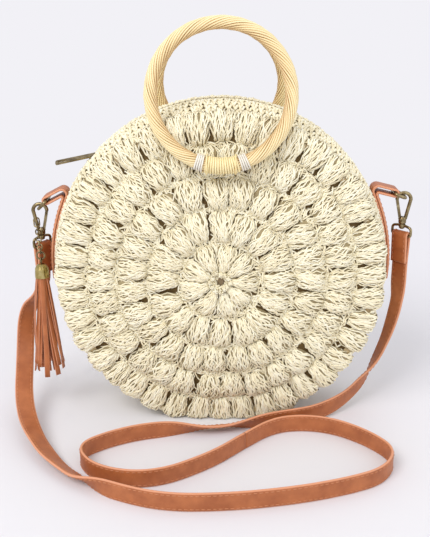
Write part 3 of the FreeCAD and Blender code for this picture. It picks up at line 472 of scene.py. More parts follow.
def build_stage():
    camera = bpy.data.cameras.new("camera")
    camera.sensor_fit = "VERTICAL"
    camera.sensor_height = SENSOR_HEIGHT
    camera.lens = CAMERA_LENS
    viewer = new_object("camera", camera)
    viewer.location = CAMERA_PLACE
    viewer.rotation_euler = (math.radians(90 - CAMERA_DIP_DEGREES), 0, 0)
    bpy.context.scene.camera = viewer
    for name, stand, size, power in LAMPS:
        lamp = bpy.data.lights.new(name, "AREA")
        lamp.size = size
        lamp.energy = power
        holder = new_object(name, lamp)
        holder.location = stand
        aim = LAMP_AIM - np.array(stand)
        yaw = math.atan2(aim[0], -aim[1])
        tilt = math.atan2(math.hypot(aim[0], aim[1]), -aim[2])
        holder.rotation_euler = (tilt, 0, yaw + math.pi)
    bpy.context.scene.world = studio_world()
    bpy.context.scene.view_settings.view_transform = "Standard"
    reach = np.linspace(-FLOOR_REACH, FLOOR_REACH, 3)
    floor_points = places(reach[:, None], reach, 0.0)
    floor = make_object("floor", grid(floor_points), [floor_material()])


build_stage()


# Crochet panels: rounds of puff stitches with a braid of chain stitches between them

# Inner radius, outer radius, stitches in the round
ROUNDS = (
    (0.0088, 0.0340, 9),
    (0.0352, 0.0619, 16),
    (0.0630, 0.0884, 23),
    (0.0895, 0.1134, 30),
    (0.1144, 0.1500, 40),
)
PUFF_STRANDS = 15
CROSSING_STRANDS = 10
PUFF_HEIGHT = 0.0056
PUFF_SINK = 0.0048
PUFF_OVERLAP = 1.03
# The yarn bodies under the puffs' strands are painted deep in shade, for the shadow between the strands
BODY_SHADE = 0.90
BODY_SINK = 0.0004
STRAND = 0.00074
# How much a puff narrows at its foot and at its head
FOOT_TAPER = 0.42
HEAD_TAPER = 0.40
RIM_HEAD_TAPER = 0.68
# Standard deviations: a puff's place in stitches, size, shift and lean, a strand's place and ends
PLACE_SPREAD = 0.045
SIZE_SPREAD = 0.09
SHIFT_SPREAD = 0.0012
LEAN_SPREAD = 0.30
STRAND_SPREAD = 0.05
END_SPREAD = 0.015
LAID_SLANT = 0.24
CROSSING_SLANT = 1.05
CROSSING_LIFT = 0.0003
STRAND_SWAY = 0.0008
STRAND_RIPPLE = 0.0005
# The hollow under the handle's foot
FOOT_DENT = 0.0021
FOOT_WIDTH = 0.026
FOOT_HEIGHT = 0.012
# Past the rim the face rolls over towards the gusset
RIM_START = 0.1335
RIM_ROLL = 0.0085
# Braids between the rounds and at the rim, and the strands that fill the seams
BRAID_STRAND = 0.00085
BRAID_SWAY = 0.0017
BRAID_LIFT = -0.0050
RIM_BRAID_LIFT = -0.0085
SEAM_FILL = 7000
FILL_LENGTH = (0.005, 0.010)
FILL_POINTS = 6
# The hole at the middle, its ring of small stitches, given as a round is, and the cloth behind it
HOLE_RADIUS = 0.0038
EYE = (0.0056, 0.0100, 12)
EYE_BRAID = 0.0058
EYE_LIFT = -0.0032
PATCH_RADIUS = 0.008
PATCH_LIFT = -0.0058


def panel_y(radius):
    """How far the panel's face stands from the bag's middle at a distance from the centre line."""
    top = HALF_DEPTH + PANEL_RIM + PANEL_DOME
    return top - DOME_RADIUS + np.sqrt(np.maximum(DOME_RADIUS**2 - radius**2, 0.0))


def on_panel(radius, angle, height, side):
    """Points over the panel's face, side -1 in front and +1 behind, kept clear of the floor.

    Past the rim they go round a circle of radius RIM_ROLL, with height square to it. They lie lower
    under the handle's foot, by a bell curve round it.
    """
    aside = radius * np.cos(angle) / FOOT_WIDTH
    above = (BAG_CENTRE_Z + radius * np.sin(angle) - HANDLE_AXIS[2]) / FOOT_HEIGHT
    height = height - FOOT_DENT * np.exp(-(aside**2) - above**2)
    roll = np.maximum(radius - RIM_START, 0.0) / RIM_ROLL
    flat = np.minimum(radius, RIM_START)
    reach = flat + (RIM_ROLL + height) * np.sin(roll)
    x = reach * np.cos(angle)
    z = BAG_CENTRE_Z + reach * np.sin(angle)
    y = side * (panel_y(flat) - RIM_ROLL + (RIM_ROLL + height) * np.cos(roll))
    return places(x, y, np.maximum(z, FLOOR_GAP))


def puff_dome(spread, share):
    """A puff's height, from 0 to 1: round across it, flat-topped along it."""
    return (1 - np.abs(spread) ** 2.6) ** 0.5 * (1 - 0.9 * np.abs(2 * share - 1) ** 3.0)


def puff_round(inner, outer, count, side, head, laid=PUFF_STRANDS, crossing=CROSSING_STRANDS):
    """One round of pillow-shaped stitches, each a smooth body under strands of yarn.

    Laid strands fan from a narrow foot to a broad head, whose tip narrows by head; crossing ones run
    aslant over them, and each stitch leans to one side by its own amount.
    """
    steps = 10
    total = laid + crossing
    each = (count, 1, 1)
    middle = 2 * np.pi * (np.arange(count)[:, None, None] + rng.normal(0, PLACE_SPREAD, each)) / count
    size = 1.0 + rng.normal(0, SIZE_SPREAD, each)
    shift = rng.normal(0, SHIFT_SPREAD, each)

    def puff_points(share, spread, sway, lift):
        radius = inner + (outer - inner) * share + shift
        fill = 1 - FOOT_TAPER * (1 - share) ** 4 - head * share**9
        half_width = PUFF_OVERLAP * np.pi * radius / count * fill
        angle = middle + (half_width * spread + sway) / radius
        height = PUFF_HEIGHT * size * puff_dome(spread, share) - PUFF_SINK + lift
        return on_panel(radius + 0 * angle, angle, height, side)

    share = np.linspace(0.0, 1.0, steps)
    shape = (count, total, 1)

    def waves():
        """A sine along each strand, with its own rate and start."""
        return np.sin(2 * np.pi * (share * rng.uniform(1.5, 3.5, shape) + rng.random(shape)))

    even = np.concatenate([np.linspace(-0.97, 0.97, laid), np.linspace(-0.8, 0.8, crossing)])[:, None]
    laid_down = (np.arange(total) < laid)[:, None]
    slant = np.where(laid_down, LAID_SLANT, CROSSING_SLANT)
    lean = rng.normal(0, LEAN_SPREAD, each)
    start = even + rng.normal(0, STRAND_SPREAD, shape)
    spread = start + (lean + slant * rng.normal(0, 1.0, shape)) * (share - 0.5)
    spread = np.clip(spread, -0.99, 0.99)
    sway = STRAND_SWAY * waves()
    lift = STRAND_RIPPLE * waves() + np.where(laid_down, 0.0, CROSSING_LIFT)
    ends = np.clip(share + rng.normal(0, END_SPREAD, shape), 0.0, 1.0)
    paths = puff_points(ends, spread, sway, lift).reshape(count * total, steps, 3)
    thickness = STRAND * rng.uniform(0.8, 1.2, (count * total, 1)) * (0.7 + 0.3 * np.sin(np.pi * share))
    yarn = strands(paths, (0, side, 0), thickness, sides=5)
    # Yarn under the strands, painted deep in shade for the shadow between them
    body = puff_points(np.linspace(0.02, 0.98, 9), np.linspace(-1.0, 1.0, 9)[:, None], 0.0, -BODY_SINK)
    return join(yarn, grids(body, BODY_SHADE))


def filling(seam, side):
    """Short strands lying every way at the foot of the stitches, where two rounds meet."""
    count = int(seam * SEAM_FILL)
    share = np.linspace(-0.5, 0.5, FILL_POINTS)[None, :]
    shape = (count, 1)
    length = rng.uniform(*FILL_LENGTH, shape)
    heading = rng.normal(0, 0.75, shape)
    radius = seam + rng.normal(0, 0.0026, shape) + length * np.cos(heading) * share
    radius = np.minimum(radius, BAG_RADIUS + 0.0008)
    start = 2 * np.pi * rng.random(shape)
    angle = start + length * np.sin(heading) * share / seam
    height = -0.0041 + rng.normal(0, 0.0004, shape) - 0.004 * share**2
    paths = on_panel(radius, angle, height, side)
    return strands(paths, (0, side, 0), STRAND, sides=4)


def chain_round(radius, waves, side, lift):
    """Three strands braided round a circle: side to side as a sine, up and down at twice its rate."""
    turn = np.linspace(0.0, 2 * np.pi, 10 * waves + 1)
    phase = spokes(3)[:, None]
    sway = waves / 2 * turn + phase
    rings = radius + BRAID_SWAY * np.sin(sway) + 0.0006 * np.sin(5 * turn + 2 * phase)
    height = lift + 0.0007 * np.sin(2 * sway) + np.zeros_like(turn)
    paths = on_panel(rings, turn + np.zeros_like(phase), height, side)
    return strands(paths, (0, side, 0), BRAID_STRAND, sides=4)


def disc(inner, outer, rings, sides, lift, side):
    """A sheet that follows the panel's face, between two radii."""
    radius = np.linspace(inner, outer, rings)[:, None]
    angle = np.linspace(0.0, 2 * np.pi, sides + 1)[None, :]
    return grid(on_panel(radius + 0 * angle, angle + 0 * radius, lift, side))


PANEL_NAMES = {-1: "front", 1: "rear"}
for side, panel in PANEL_NAMES.items():
    # Painted shadow: a dark sheet just under the stitches, seen through the holes between them
    gap_shadow_sheet = disc(HOLE_RADIUS, BAG_RADIUS - 0.001, 24, 96, -PUFF_SINK - 0.0003, side)
    piece(panel + "_panel_gap_shadow", gap_shadow_sheet, [GAP], "bag", "crochet", panel + "_panel")
    for number, (inner, outer, count) in enumerate(ROUNDS, start=1):
        at_rim = number == len(ROUNDS)
        seam = BAG_RADIUS if at_rim else outer + 0.0006
        stitches = join(
            puff_round(inner, outer, count, side, RIM_HEAD_TAPER if at_rim else HEAD_TAPER),
            chain_round(seam, 2 * count, side, RIM_BRAID_LIFT if at_rim else BRAID_LIFT),
        )
        piece(f"{panel}_panel_round_{number}", stitches, [YARN], "bag", "crochet")
        piece(f"{panel}_panel_filling_{number}", filling(seam, side), [YARN], "bag", "crochet")
    eye = puff_round(*EYE, side, HEAD_TAPER, laid=4, crossing=2)
    centre = join(eye, chain_round(EYE_BRAID, EYE[2], side, EYE_LIFT))
    piece(panel + "_panel_centre", centre, [YARN], "bag", "crochet")
    patch = disc(0.0, PATCH_RADIUS, 4, 32, PATCH_LIFT, side)
    piece(panel + "_panel_eye", patch, [LINING], "bag", "lining")


# Gusset and top strips: rows of plain V-shaped stitches on the barrel-shaped edge

ROW_PITCH = 0.0064
STITCH_STEP = 0.0054
STITCH_OVERHANG = 0.002
LEG_LEAN = 0.46
LEG_STRAND = 0.00150
EDGE_FILL = 50000
GROUND_DEPTH = 0.0018
EDGE_BRAID_STRAND = 0.0010
EDGE_BRAID_PITCH = 0.0048
# The hollow where the pull comes to rest at the zip's far end
PULL_PLACE = math.radians(30)
PULL_DENT = 0.0017
PULL_WIDTH = 0.009
PULL_SPAN = 0.22
# The zip's arc over the top and the gusset's round the rest, with angles counted from +X
TOP_START = math.pi / 2 - ZIP_HALF
TOP_END = math.pi / 2 + ZIP_HALF
SIDE_END = TOP_START + 2 * math.pi
LOWEST = 1.5 * math.pi


def edge_radius(y):
    """The outside of the gusset at a distance from the bag's middle plane."""
    return BAG_RADIUS + GUSSET_CROWN * (1 - (y / HALF_DEPTH) ** 2)


def on_edge(angle, y, lift):
    """Points over the gusset, kept clear of the floor, and lower by a bell curve under the pull."""
    past = np.arctan2(np.sin(angle), np.cos(angle)) - PULL_PLACE
    under = np.exp(-((y / PULL_WIDTH) ** 2) - (past / PULL_SPAN) ** 4)
    radius = edge_radius(y) + lift - PULL_DENT * under
    x = radius * np.cos(angle)
    z = BAG_CENTRE_Z + radius * np.sin(angle)
    return places(x, y, np.maximum(z, FLOOR_GAP))


def outward(points):
    """Directions away from the bag's centre, without their part along its depth."""
    return unit(points - np.array([0.0, 0.0, BAG_CENTRE_Z])) * np.array([1.0, 0.0, 1.0])


def edge_rows(start, end, near, far):
    """V stitches: two strands lean apart from each stitch's foot, along rows from near to far."""
    rows = max(1, round(abs(far - near) / ROW_PITCH))
    pitch = (far - near) / rows
    columns = round((end - start) * BAG_RADIUS / STITCH_STEP)
    step = (end - start) / columns
    share = np.linspace(0.0, 1.0, 5)
    row = np.arange(rows)[:, None, None, None]
    column = np.arange(columns)[None, :, None, None]
    leg = np.array([-1.0, 1.0])[None, None, :, None]
    shape = (rows, columns, 2, 1)
    lean = leg * LEG_LEAN * share + rng.normal(0, 0.05, shape)
    angle = start + (column + 0.5 + lean + 0.12 * np.sin(1.7 * row)) * step
    y = near + (row + 0.02 + share + rng.normal(0, 0.03, shape)) * pitch
    lift = 0.0022 * np.sin(np.pi * (0.1 + 0.8 * share)) - 0.0016 + rng.normal(0, 0.0002, shape)
    y = np.clip(y, min(near, far), max(near, far)) + np.zeros_like(angle)
    paths = on_edge(angle, y, lift).reshape(-1, len(share), 3)
    thickness = LEG_STRAND * rng.uniform(0.85, 1.15, (len(paths), 1))
    thickness = thickness * (0.55 + 0.45 * np.sin(np.pi * share))
    return strands(paths, outward(paths), thickness, sides=5)


def edge_filling(start, end, near, far):
    """Short strands lying every way over the V stitches, each bowed a little off the surface."""
    count = int((end - start) * BAG_RADIUS * abs(far - near) * EDGE_FILL)
    share = np.linspace(-0.5, 0.5, FILL_POINTS)[None, :]
    shape = (count, 1)
    length = rng.uniform(*FILL_LENGTH, shape)
    heading = 2 * np.pi * rng.random(shape)
    y = rng.uniform(min(near, far), max(near, far), shape) + length * np.cos(heading) * share
    y = np.clip(y, min(near, far), max(near, far))
    angle = rng.uniform(start, end, shape) + length * np.sin(heading) * share / BAG_RADIUS
    lift = rng.uniform(-0.0006, 0.0008, shape) - 0.006 * share**2
    paths = on_edge(angle, y, lift)
    return strands(paths, outward(paths), 1.15 * STRAND, sides=4)


def edge_ground(start, end, near, far):
    """A band under the stitches, from just below their face down to the wall's inner side."""
    angle = np.linspace(start, end, 120)
    loop = (near, far, far, near, near)
    depths = (GROUND_DEPTH, GROUND_DEPTH, WALL, WALL, GROUND_DEPTH)
    columns = [on_edge(angle, np.full_like(angle, y), -depth) for y, depth in zip(loop, depths)]
    return grid(np.stack(columns, axis=1))


def edge_braid(y, lift):
    """Three strands braided along the slit's edge."""
    angle = np.linspace(TOP_START, TOP_END, 400)
    phase = spokes(3)[:, None]
    sway = angle * BAG_RADIUS / EDGE_BRAID_PITCH * 2 * np.pi + phase
    paths = on_edge(angle + 0 * phase, y + 0.0009 * np.sin(sway), lift + 0.0006 * np.sin(2 * sway))
    return strands(paths, (0, 0, 1), EDGE_BRAID_STRAND, sides=5)


ground = edge_ground(TOP_END, SIDE_END, -HALF_DEPTH, HALF_DEPTH)
piece("gusset_ground", ground, [YARN_GROUND], "bag", "crochet", "gusset_band")
rim = HALF_DEPTH + STITCH_OVERHANG
for name, start, end in (("left", TOP_END, LOWEST), ("right", LOWEST, SIDE_END)):
    span = (start, end, -rim, rim)
    rows = join(edge_rows(*span), edge_filling(*span))
    piece("gusset_stitches_" + name, rows, [YARN], "bag", "crochet")
for side, panel in PANEL_NAMES.items():
    slit = side * (SLOT_HALF - 0.0004)
    span = (TOP_START, TOP_END, slit, side * rim)
    ground = edge_ground(TOP_START, TOP_END, side * SLOT_HALF, side * HALF_DEPTH)
    piece(f"top_ground_{panel}", ground, [YARN_GROUND], "bag", "crochet", "top_strip_" + panel)
    braids = join(edge_braid(slit, -0.0004), edge_braid(slit, -0.0036))
    rows = join(edge_rows(*span), edge_filling(*span), braids)
    piece(f"top_stitches_{panel}", rows, [YARN], "bag", "crochet")


# Lining and zip tapes


def build_lining():
    """A drum of cloth, open along the zip, with a disc at each face."""
    face = HALF_DEPTH - LINING_GAP

    def inside(angle, across):
        return on_edge(angle[:, None] + 0 * across, across + 0 * angle[:, None], -LINING_INSET)

    band = inside(np.linspace(TOP_END, SIDE_END, 90), np.linspace(-face, face, 9))
    band[..., 2] = np.maximum(band[..., 2], WALL + LINING_GAP)
    parts = [grid(band)]
    for side in (-1, 1):
        reach = side * np.linspace(SLOT_HALF + 0.0008, face, 5)
        parts.append(grid(inside(np.linspace(TOP_START, TOP_END, 40), reach)))
        radius = np.linspace(0.0, BAG_RADIUS - 0.0115, 12)[:, None]
        turn = np.linspace(0.0, 2 * np.pi, 73)[None, :]
        x = radius * np.cos(turn)
        z = np.maximum(BAG_CENTRE_Z + radius * np.sin(turn), WALL + LINING_GAP)
        parts.append(grid(places(x, side * face, z)))
    return join(*parts)


def zip_tape(side):
    """One tape of the zip: a flat band along the arc, with its section's corners in order."""
    angle = np.linspace(TOP_START + 0.003, TOP_END - 0.003, 70)[:, None]
    under = ZIP_RADIUS - TAPE_THICKNESS
    radius = np.array([under, ZIP_RADIUS, ZIP_RADIUS, under, under])
    y = side * np.array([TAPE_EDGE, TAPE_EDGE, TAPE_OUTER, TAPE_OUTER, TAPE_EDGE])
    x = radius * np.cos(angle)
    z = BAG_CENTRE_Z + radius * np.sin(angle)
    return grid(places(x, y, z))


piece("lining_cloth", build_lining(), [LINING], "bag", "lining", "lining")
for side, panel in PANEL_NAMES.items():
    piece(f"zip_tape_{panel}_cloth", zip_tape(side), [TAPE], "bag", "zip_tape", "zip_tape_" + panel)


# Handles: a twist of rattan strands, bound with cane between two whippings of thread

RATTAN_STRANDS = 16
RATTAN_TWISTS = -4
RATTAN_STRAND = 0.00093
RATTAN_TONE = 0.15
STRAND_SIDES = 8
# Painted shade: strengthened by this factor in the grooves, and added by this much on the ring's inner
# side
GROOVE_SHADE = 1.6
INSIDE_SHADE = 0.45
TURN_POINTS = 28


def on_handle(along, around, radius, side):
    """Points on the leaned ring: along it from its foot, and around its tube at a radius."""
    out = places(np.sin(along), 0.0, -np.cos(along))
    middle = np.array([0.0, HANDLE_AXIS[1], HANDLE_BOTTOM_Z + HANDLE_RADIUS])
    depth = np.array([0.0, 1.0, 0.0])
    spoke = out * np.cos(around)[..., None] + depth * np.sin(around)[..., None]
    points = middle + out * HANDLE_RADIUS + spoke * np.asarray(radius)[..., None]
    away = points - HANDLE_AXIS
    cosine = math.cos(HANDLE_LEAN[side])
    sine = math.sin(HANDLE_LEAN[side])
    y = away[..., 1] * cosine + away[..., 2] * sine
    z = away[..., 2] * cosine - away[..., 1] * sine
    leaned = places(away[..., 0], y, z) + HANDLE_AXIS
    return leaned * np.array([1.0, -side, 1.0])


def heart(along, side):
    """Points along the middle of the ring's tube."""
    return on_handle(along, 0 * along, 0.0, side)


def rattan_ring(side):
    """Strands laid round the tube, turning about it a few times on the way round the ring.

    Shade is painted on them, deeper in the grooves and on the side that faces the ring's middle.
    """
    along = np.linspace(0.0, 2 * np.pi, 181)[None, :]
    phase = spokes(RATTAN_STRANDS)[:, None]
    around = phase + RATTAN_TWISTS * along + 0.03 * np.sin(5 * along + 3 * phase)
    radius = HANDLE_TUBE - RATTAN_STRAND + 0.0001 * np.sin(7 * along + 5 * phase)
    paths = on_handle(along + 0 * phase, around, radius, side)
    wide = RATTAN_STRAND * (0.97 + 0.05 * np.sin(3 * along + 2 * phase))
    tone = RATTAN_TONE * rng.random(RATTAN_STRANDS)
    verts, quads, uv, shade = strands(paths, paths - heart(along, side), wide, STRAND_SIDES, tone)
    inward = np.pad(0.5 - 0.5 * np.cos(around), ((0, 0), (1, 1)), mode="edge")
    return verts, quads, uv, GROOVE_SHADE * shade + INSIDE_SHADE * np.repeat(inward**2, STRAND_SIDES)


def winding(turns, pitch, wire, middle, side):
    """A helix round the tube with an even pitch along the ring."""
    turn = np.linspace(0.0, turns, TURN_POINTS * turns + 1)[None, :]
    span = turns * pitch / HANDLE_RADIUS
    along = middle / HANDLE_RADIUS + span * (turn / turns - 0.5)
    paths = on_handle(along, 2 * np.pi * turn, HANDLE_TUBE + wire * 0.8, side)
    return strands(paths, paths - heart(along, side), wire, STRAND_SIDES)


def anchor_stitches(side):
    """Two cane loops from the panel round the bound foot of the ring."""
    rise = HANDLE_AXIS[2] - HANDLE_BOTTOM_Z
    along = math.acos(1 - rise / HANDLE_RADIUS)
    radius = (HANDLE_TUBE + CANE_DEPTH) / math.cos(along) + ANCHOR_GAP
    turn = np.linspace(-0.5 * np.pi, 0.5 * np.pi, 25)
    y = np.concatenate([[ANCHOR_REACH], -radius * np.cos(turn), [ANCHOR_REACH]])
    z = np.concatenate([[-0.65 * radius], radius * np.sin(turn), [0.65 * radius]])
    x = np.array([[-1], [1]]) * HANDLE_RADIUS * math.sin(along)
    loops = places(x, y, z) + HANDLE_AXIS
    paths = loops * np.array([1.0, -side, 1.0])
    across = np.array([1.0, 0.0, 0.0])
    section = round_section(ANCHOR_WIRE, STRAND_SIDES)
    return sweep(paths, across, section, path_shade=rng.random(len(paths)))


whipping_reach = (CANE_TURNS * CANE_PITCH + THREAD_TURNS * THREAD_PITCH) / 2 + WINDING_GAP
for side, panel in PANEL_NAMES.items():
    body = panel + "_handle"
    piece(body + "_rattan", rattan_ring(side), [RATTAN], body, "rattan", body + "_ring")
    cane = winding(CANE_TURNS, CANE_PITCH, CANE_WIRE, 0.0, side)
    piece(body + "_binding", cane, [CANE], body, "cane", body + "_cane")
    ends = (-whipping_reach, whipping_reach)
    whippings = [winding(THREAD_TURNS, THREAD_PITCH, THREAD_WIRE, end, side) for end in ends]
    piece(body + "_whippings", join(*whippings), [THREAD], body, "thread", body + "_threads")
    piece(body + "_stitches", anchor_stitches(side), [CANE], "bag", "cane", body + "_anchor")


# Leather strips with rounded, paler edges and two lines of stitching

EDGE_SHADE = 1.3
FOLD_STEP = 0.0012
# The two bends of a fold are a little tighter than its half width, so that they stay apart
FOLD_EASE = 0.98


def strip_section(width, thickness, round_steps=4, flat_steps=5):
    """A flat section with half-round edges, and its edge shade."""
    half = width / 2 - thickness / 2
    turn = np.linspace(-np.pi / 2, np.pi / 2, round_steps + 1)
    right = places(half + thickness / 2 * np.cos(turn), thickness / 2 * np.sin(turn))
    flat = np.linspace(half, -half, flat_steps + 1)[1:-1]
    top = places(flat, thickness / 2)
    section = np.concatenate([right, top, -right, -top])
    shade = np.concatenate([np.cos(turn), 0 * flat, np.cos(turn), 0 * flat])
    return section, np.clip(shade * EDGE_SHADE, 0.0, 1.0)


def along_rail(points, across, distance, aside, lift):
    """Places beside and above a strip's middle line at given distances along it."""
    steps = np.linalg.norm(np.diff(points, axis=0), axis=-1)
    gone = np.concatenate([[0.0], steps.cumsum()])
    tangent = unit(np.gradient(points, axis=0))
    side = unit(across - tangent * np.sum(across * tangent, axis=-1, keepdims=True))
    normal = np.cross(tangent, side)

    def at(values):
        columns = [np.interp(distance, gone, values[:, axis]) for axis in range(3)]
        return np.stack(columns, axis=-1)

    return at(points) + at(side) * aside + at(normal) * np.asarray(lift)[..., None]


def stitched_strip(points, across, width, thickness, start, end):
    """A leather strip with stitches on both faces, between two distances along it, as one shape."""
    section, shade = strip_section(width, thickness)
    leather = sweep(points[None], across[None], section, section_shade=shade)
    count = max(1, int((end - start) / STITCH_PITCH))
    first = start + np.arange(count)[:, None] * STITCH_PITCH
    distance = first + np.linspace(0.0, STITCH_LENGTH, len(STITCH_ARCH))
    level = 0 * distance
    thread = round_section(STITCH_THREAD, 6)
    parts = [leather]
    for face in (-1, 1):
        for hand in (-1, 1):
            aside = hand * (width / 2 - STITCH_INSET)
            lift = face * (thickness / 2 + STITCH_ARCH) + level
            paths = along_rail(points, across, distance, aside, lift)
            beside = along_rail(points, across, distance, aside + 0.001, level)
            base = along_rail(points, across, distance, aside, level)
            parts.append(sweep(paths, beside - base, thread, path_shade=rng.random(count)))
    shape = join(*parts)
    index = np.ones(len(shape[1]), dtype=np.int32)
    index[: len(leather[1])] = 0
    return (*shape, index)


def bent_path(corners, radii):
    """Points along straight runs in one plane, joined by round folds."""
    corners = [np.asarray(corner, dtype=float) for corner in corners]
    points = [corners[0]]
    for before, corner, after, radius in zip(corners, corners[1:], corners[2:], radii):
        back = unit(before - corner)
        ahead = unit(after - corner)
        half_turn = (math.pi - math.acos(np.clip(back @ ahead, -1.0, 1.0))) / 2
        reach = radius * math.tan(half_turn)
        centre = corner + unit(back + ahead) * (radius / math.cos(half_turn))
        spread = np.linspace(0.0, 1.0, max(5, int(radius * 2 * half_turn / FOLD_STEP)))
        first = corner + back * reach - centre
        last = corner + ahead * reach - centre
        turned = 2 * half_turn * spread[:, None]
        arc = (np.sin(2 * half_turn - turned) * first + np.sin(turned) * last) / math.sin(2 * half_turn)
        points.extend(centre + arc)
    points.append(corners[-1])
    return np.array(points)


# Tabs on the gusset, doubled round the metal rings

SIDES = {"left": -1, "right": 1}
TAB_LOOP = {"left": 0.0295, "right": 0.0260}
TAB_DROOP = {"left": math.radians(28), "right": math.radians(14)}
TAB_LOW = math.radians(-5)
TAB_BEND = math.radians(21)
TAB_RISE = 0.022
TAB_FOLD = 0.0045
TAB_CREASE = 0.0014
# The share of the tab's length where its sewing starts, and how far from its end it stops
TAB_SEWN_FROM = 0.62
TAB_UNSEWN = 0.006
RING_WIRE = 0.0014
FIT_GAP = 0.0003
SEAM_GAP = 0.0002


def tab_path(hand):
    """The tab's middle line, drawn for the right: up the gusset, out, round the ring's bar and down."""
    inner = BAG_RADIUS + GUSSET_CROWN + FIT_GAP + TAB_THICKNESS / 2
    outer = inner + TAB_THICKNESS + SEAM_GAP
    droop = TAB_DROOP[hand]
    run = np.array([math.cos(droop), 0.0, -math.sin(droop)])
    under = np.array([-math.sin(droop), 0.0, -math.cos(droop)])
    rise = np.array([-math.sin(TAB_BEND), 0.0, math.cos(TAB_BEND)])
    turn = RING_WIRE + FIT_GAP + TAB_THICKNESS / 2

    def at(radius, angle):
        x = radius * np.cos(angle)
        z = BAG_CENTRE_Z + radius * np.sin(angle)
        return places(x, 0.0, z)

    fold = at(inner, TAB_BEND) + rise * TAB_RISE
    end = fold + run * TAB_LOOP[hand]
    back = end + under * (2 * turn)
    foot = at(outer, TAB_BEND)
    gap = back - foot
    length = (gap[0] * run[2] - gap[2] * run[0]) / (rise[0] * run[2] - rise[2] * run[0])
    corners = [at(inner, TAB_BEND), fold, end, back, foot + rise * length, foot]
    bend = bent_path(corners, [TAB_FOLD, turn * FOLD_EASE, turn * FOLD_EASE, TAB_CREASE])
    climb = at(inner, np.linspace(TAB_LOW, TAB_BEND, 24))
    fall = at(outer, np.linspace(TAB_BEND, TAB_LOW, 24))
    return np.concatenate([climb[:-1], bend, fall[1:]])


for hand, sign in SIDES.items():
    points = tab_path(hand) * np.array([sign, 1.0, 1.0])
    across = np.array([0.0, 1.0, 0.0])
    length = length_of(points)
    sewn = (length * TAB_SEWN_FROM, length - TAB_UNSEWN)
    strip = stitched_strip(points, across, STRAP_WIDTH, TAB_THICKNESS, *sewn)
    piece(hand + "_tab_leather", strip, [LEATHER, STITCH], "bag", "leather", hand + "_tab")


# Strap ends, doubled round the bar of each swivel eye

BOW = {"left": np.array([-0.158346, 0.0, 0.185444]), "right": np.array([0.160218, 0.0, 0.195404])}
EYE_YAW = {"left": math.radians(54), "right": math.radians(-48)}
EYE_BAR_DROP = 0.035
EYE_WIRE = 0.0012
STRAP_END_LENGTH = 0.025
STRAP_END_UNSEWN = 0.002


def yawed(points, hand):
    """Turn points about the upright line through a hook."""
    angle = EYE_YAW[hand]
    x = points[..., 0] * math.cos(angle) - points[..., 1] * math.sin(angle)
    y = points[..., 0] * math.sin(angle) + points[..., 1] * math.cos(angle)
    return places(x, y, points[..., 2])


strap_starts = {}
for hand in SIDES:
    turn = EYE_WIRE + FIT_GAP + STRAP_THICKNESS / 2
    close = (STRAP_THICKNESS + SEAM_GAP) / 2
    top = -EYE_BAR_DROP + turn
    low = -EYE_BAR_DROP - STRAP_END_LENGTH
    corners = [(0, -close, low), (0, -turn, top), (0, turn, top), (0, close, low)]
    flat = bent_path(corners, [turn * FOLD_EASE] * 2)
    straight = np.linspace(0.0, 1.0, 14)[:, None]
    flat = np.concatenate([flat[0] + (flat[1] - flat[0]) * straight[:-1], flat[1:]])
    flat = np.concatenate([flat[:-1], flat[-2] + (flat[-1] - flat[-2]) * straight[1:]])
    points = yawed(flat, hand) + BOW[hand]
    across = yawed(np.array([1.0, 0.0, 0.0]), hand)
    sewn = (STRAP_END_UNSEWN, length_of(points) - STRAP_END_UNSEWN)
    strip = stitched_strip(points, across, STRAP_WIDTH, STRAP_THICKNESS, *sewn)
    end_name = hand + "_strap_end"
    piece(end_name + "_leather", strip, [LEATHER, STITCH], hand + "_hanger", "leather", end_name)
    joint = np.array([0.0, close, low - FIT_GAP])
    strap_starts[hand] = (yawed(joint, hand) + BOW[hand], across)


# Strap: one long strip lying on the floor, mostly on its edge


def lying(x, y, lean=0.0):
    """A floor point of the strap and its width; lean tips its top edge to the front, in degrees."""
    tip = math.radians(lean)
    height = (STRAP_WIDTH * math.cos(tip) + STRAP_THICKNESS * math.sin(tip)) / 2 + SEAM_GAP
    return (x, y, height), (0.0, -math.sin(tip), math.cos(tip))


STRAP_DROP = 0.016
STRAP_UNSEWN = 0.001
# Points of the route from right to left, each with the direction of the strap's width there
RIGHT_LEAD = [
    ((0.160, -0.006, 0.098), (0.42, -0.90, 0.0)),
    ((0.149, -0.008, 0.054), (0.28, -0.75, 0.4)),
    ((0.126, -0.020, 0.018), (0.1, -0.2, 1.0)),
]
# Places on the floor, with the lean in degrees where the strap isn't on its edge
FLOOR_PLACES = (
    (0.093, -0.044), (0.054, -0.057), (-0.002, -0.066, 62), (-0.058, -0.075), (-0.094, -0.090),
    (-0.119, -0.112), (-0.099, -0.143), (-0.054, -0.152), (-0.009, -0.124), (0.020, -0.093),
    (0.046, -0.068), (0.073, -0.063), (0.100, -0.070), (0.126, -0.091), (0.142, -0.117),
    (0.128, -0.144), (0.098, -0.158), (0.058, -0.170), (0.008, -0.1785), (-0.042, -0.1797),
    (-0.083, -0.165), (-0.120, -0.138, 66),
)
FLOOR_LOOPS = [lying(*place) for place in FLOOR_PLACES]
LEFT_LEAD = [
    ((-0.150, -0.104, 0.010), (-0.45, -0.85, 0.25)),
    ((-0.175, -0.050, 0.015), (-0.8, -0.5, -0.1)),
    ((-0.183, 0.004, 0.042), (-1.0, -0.3, 0.0)),
    ((-0.182, 0.019, 0.084), (-0.85, -0.5, 0.0)),
]
# The route's point where the two halves meet
HALFWAY = 14


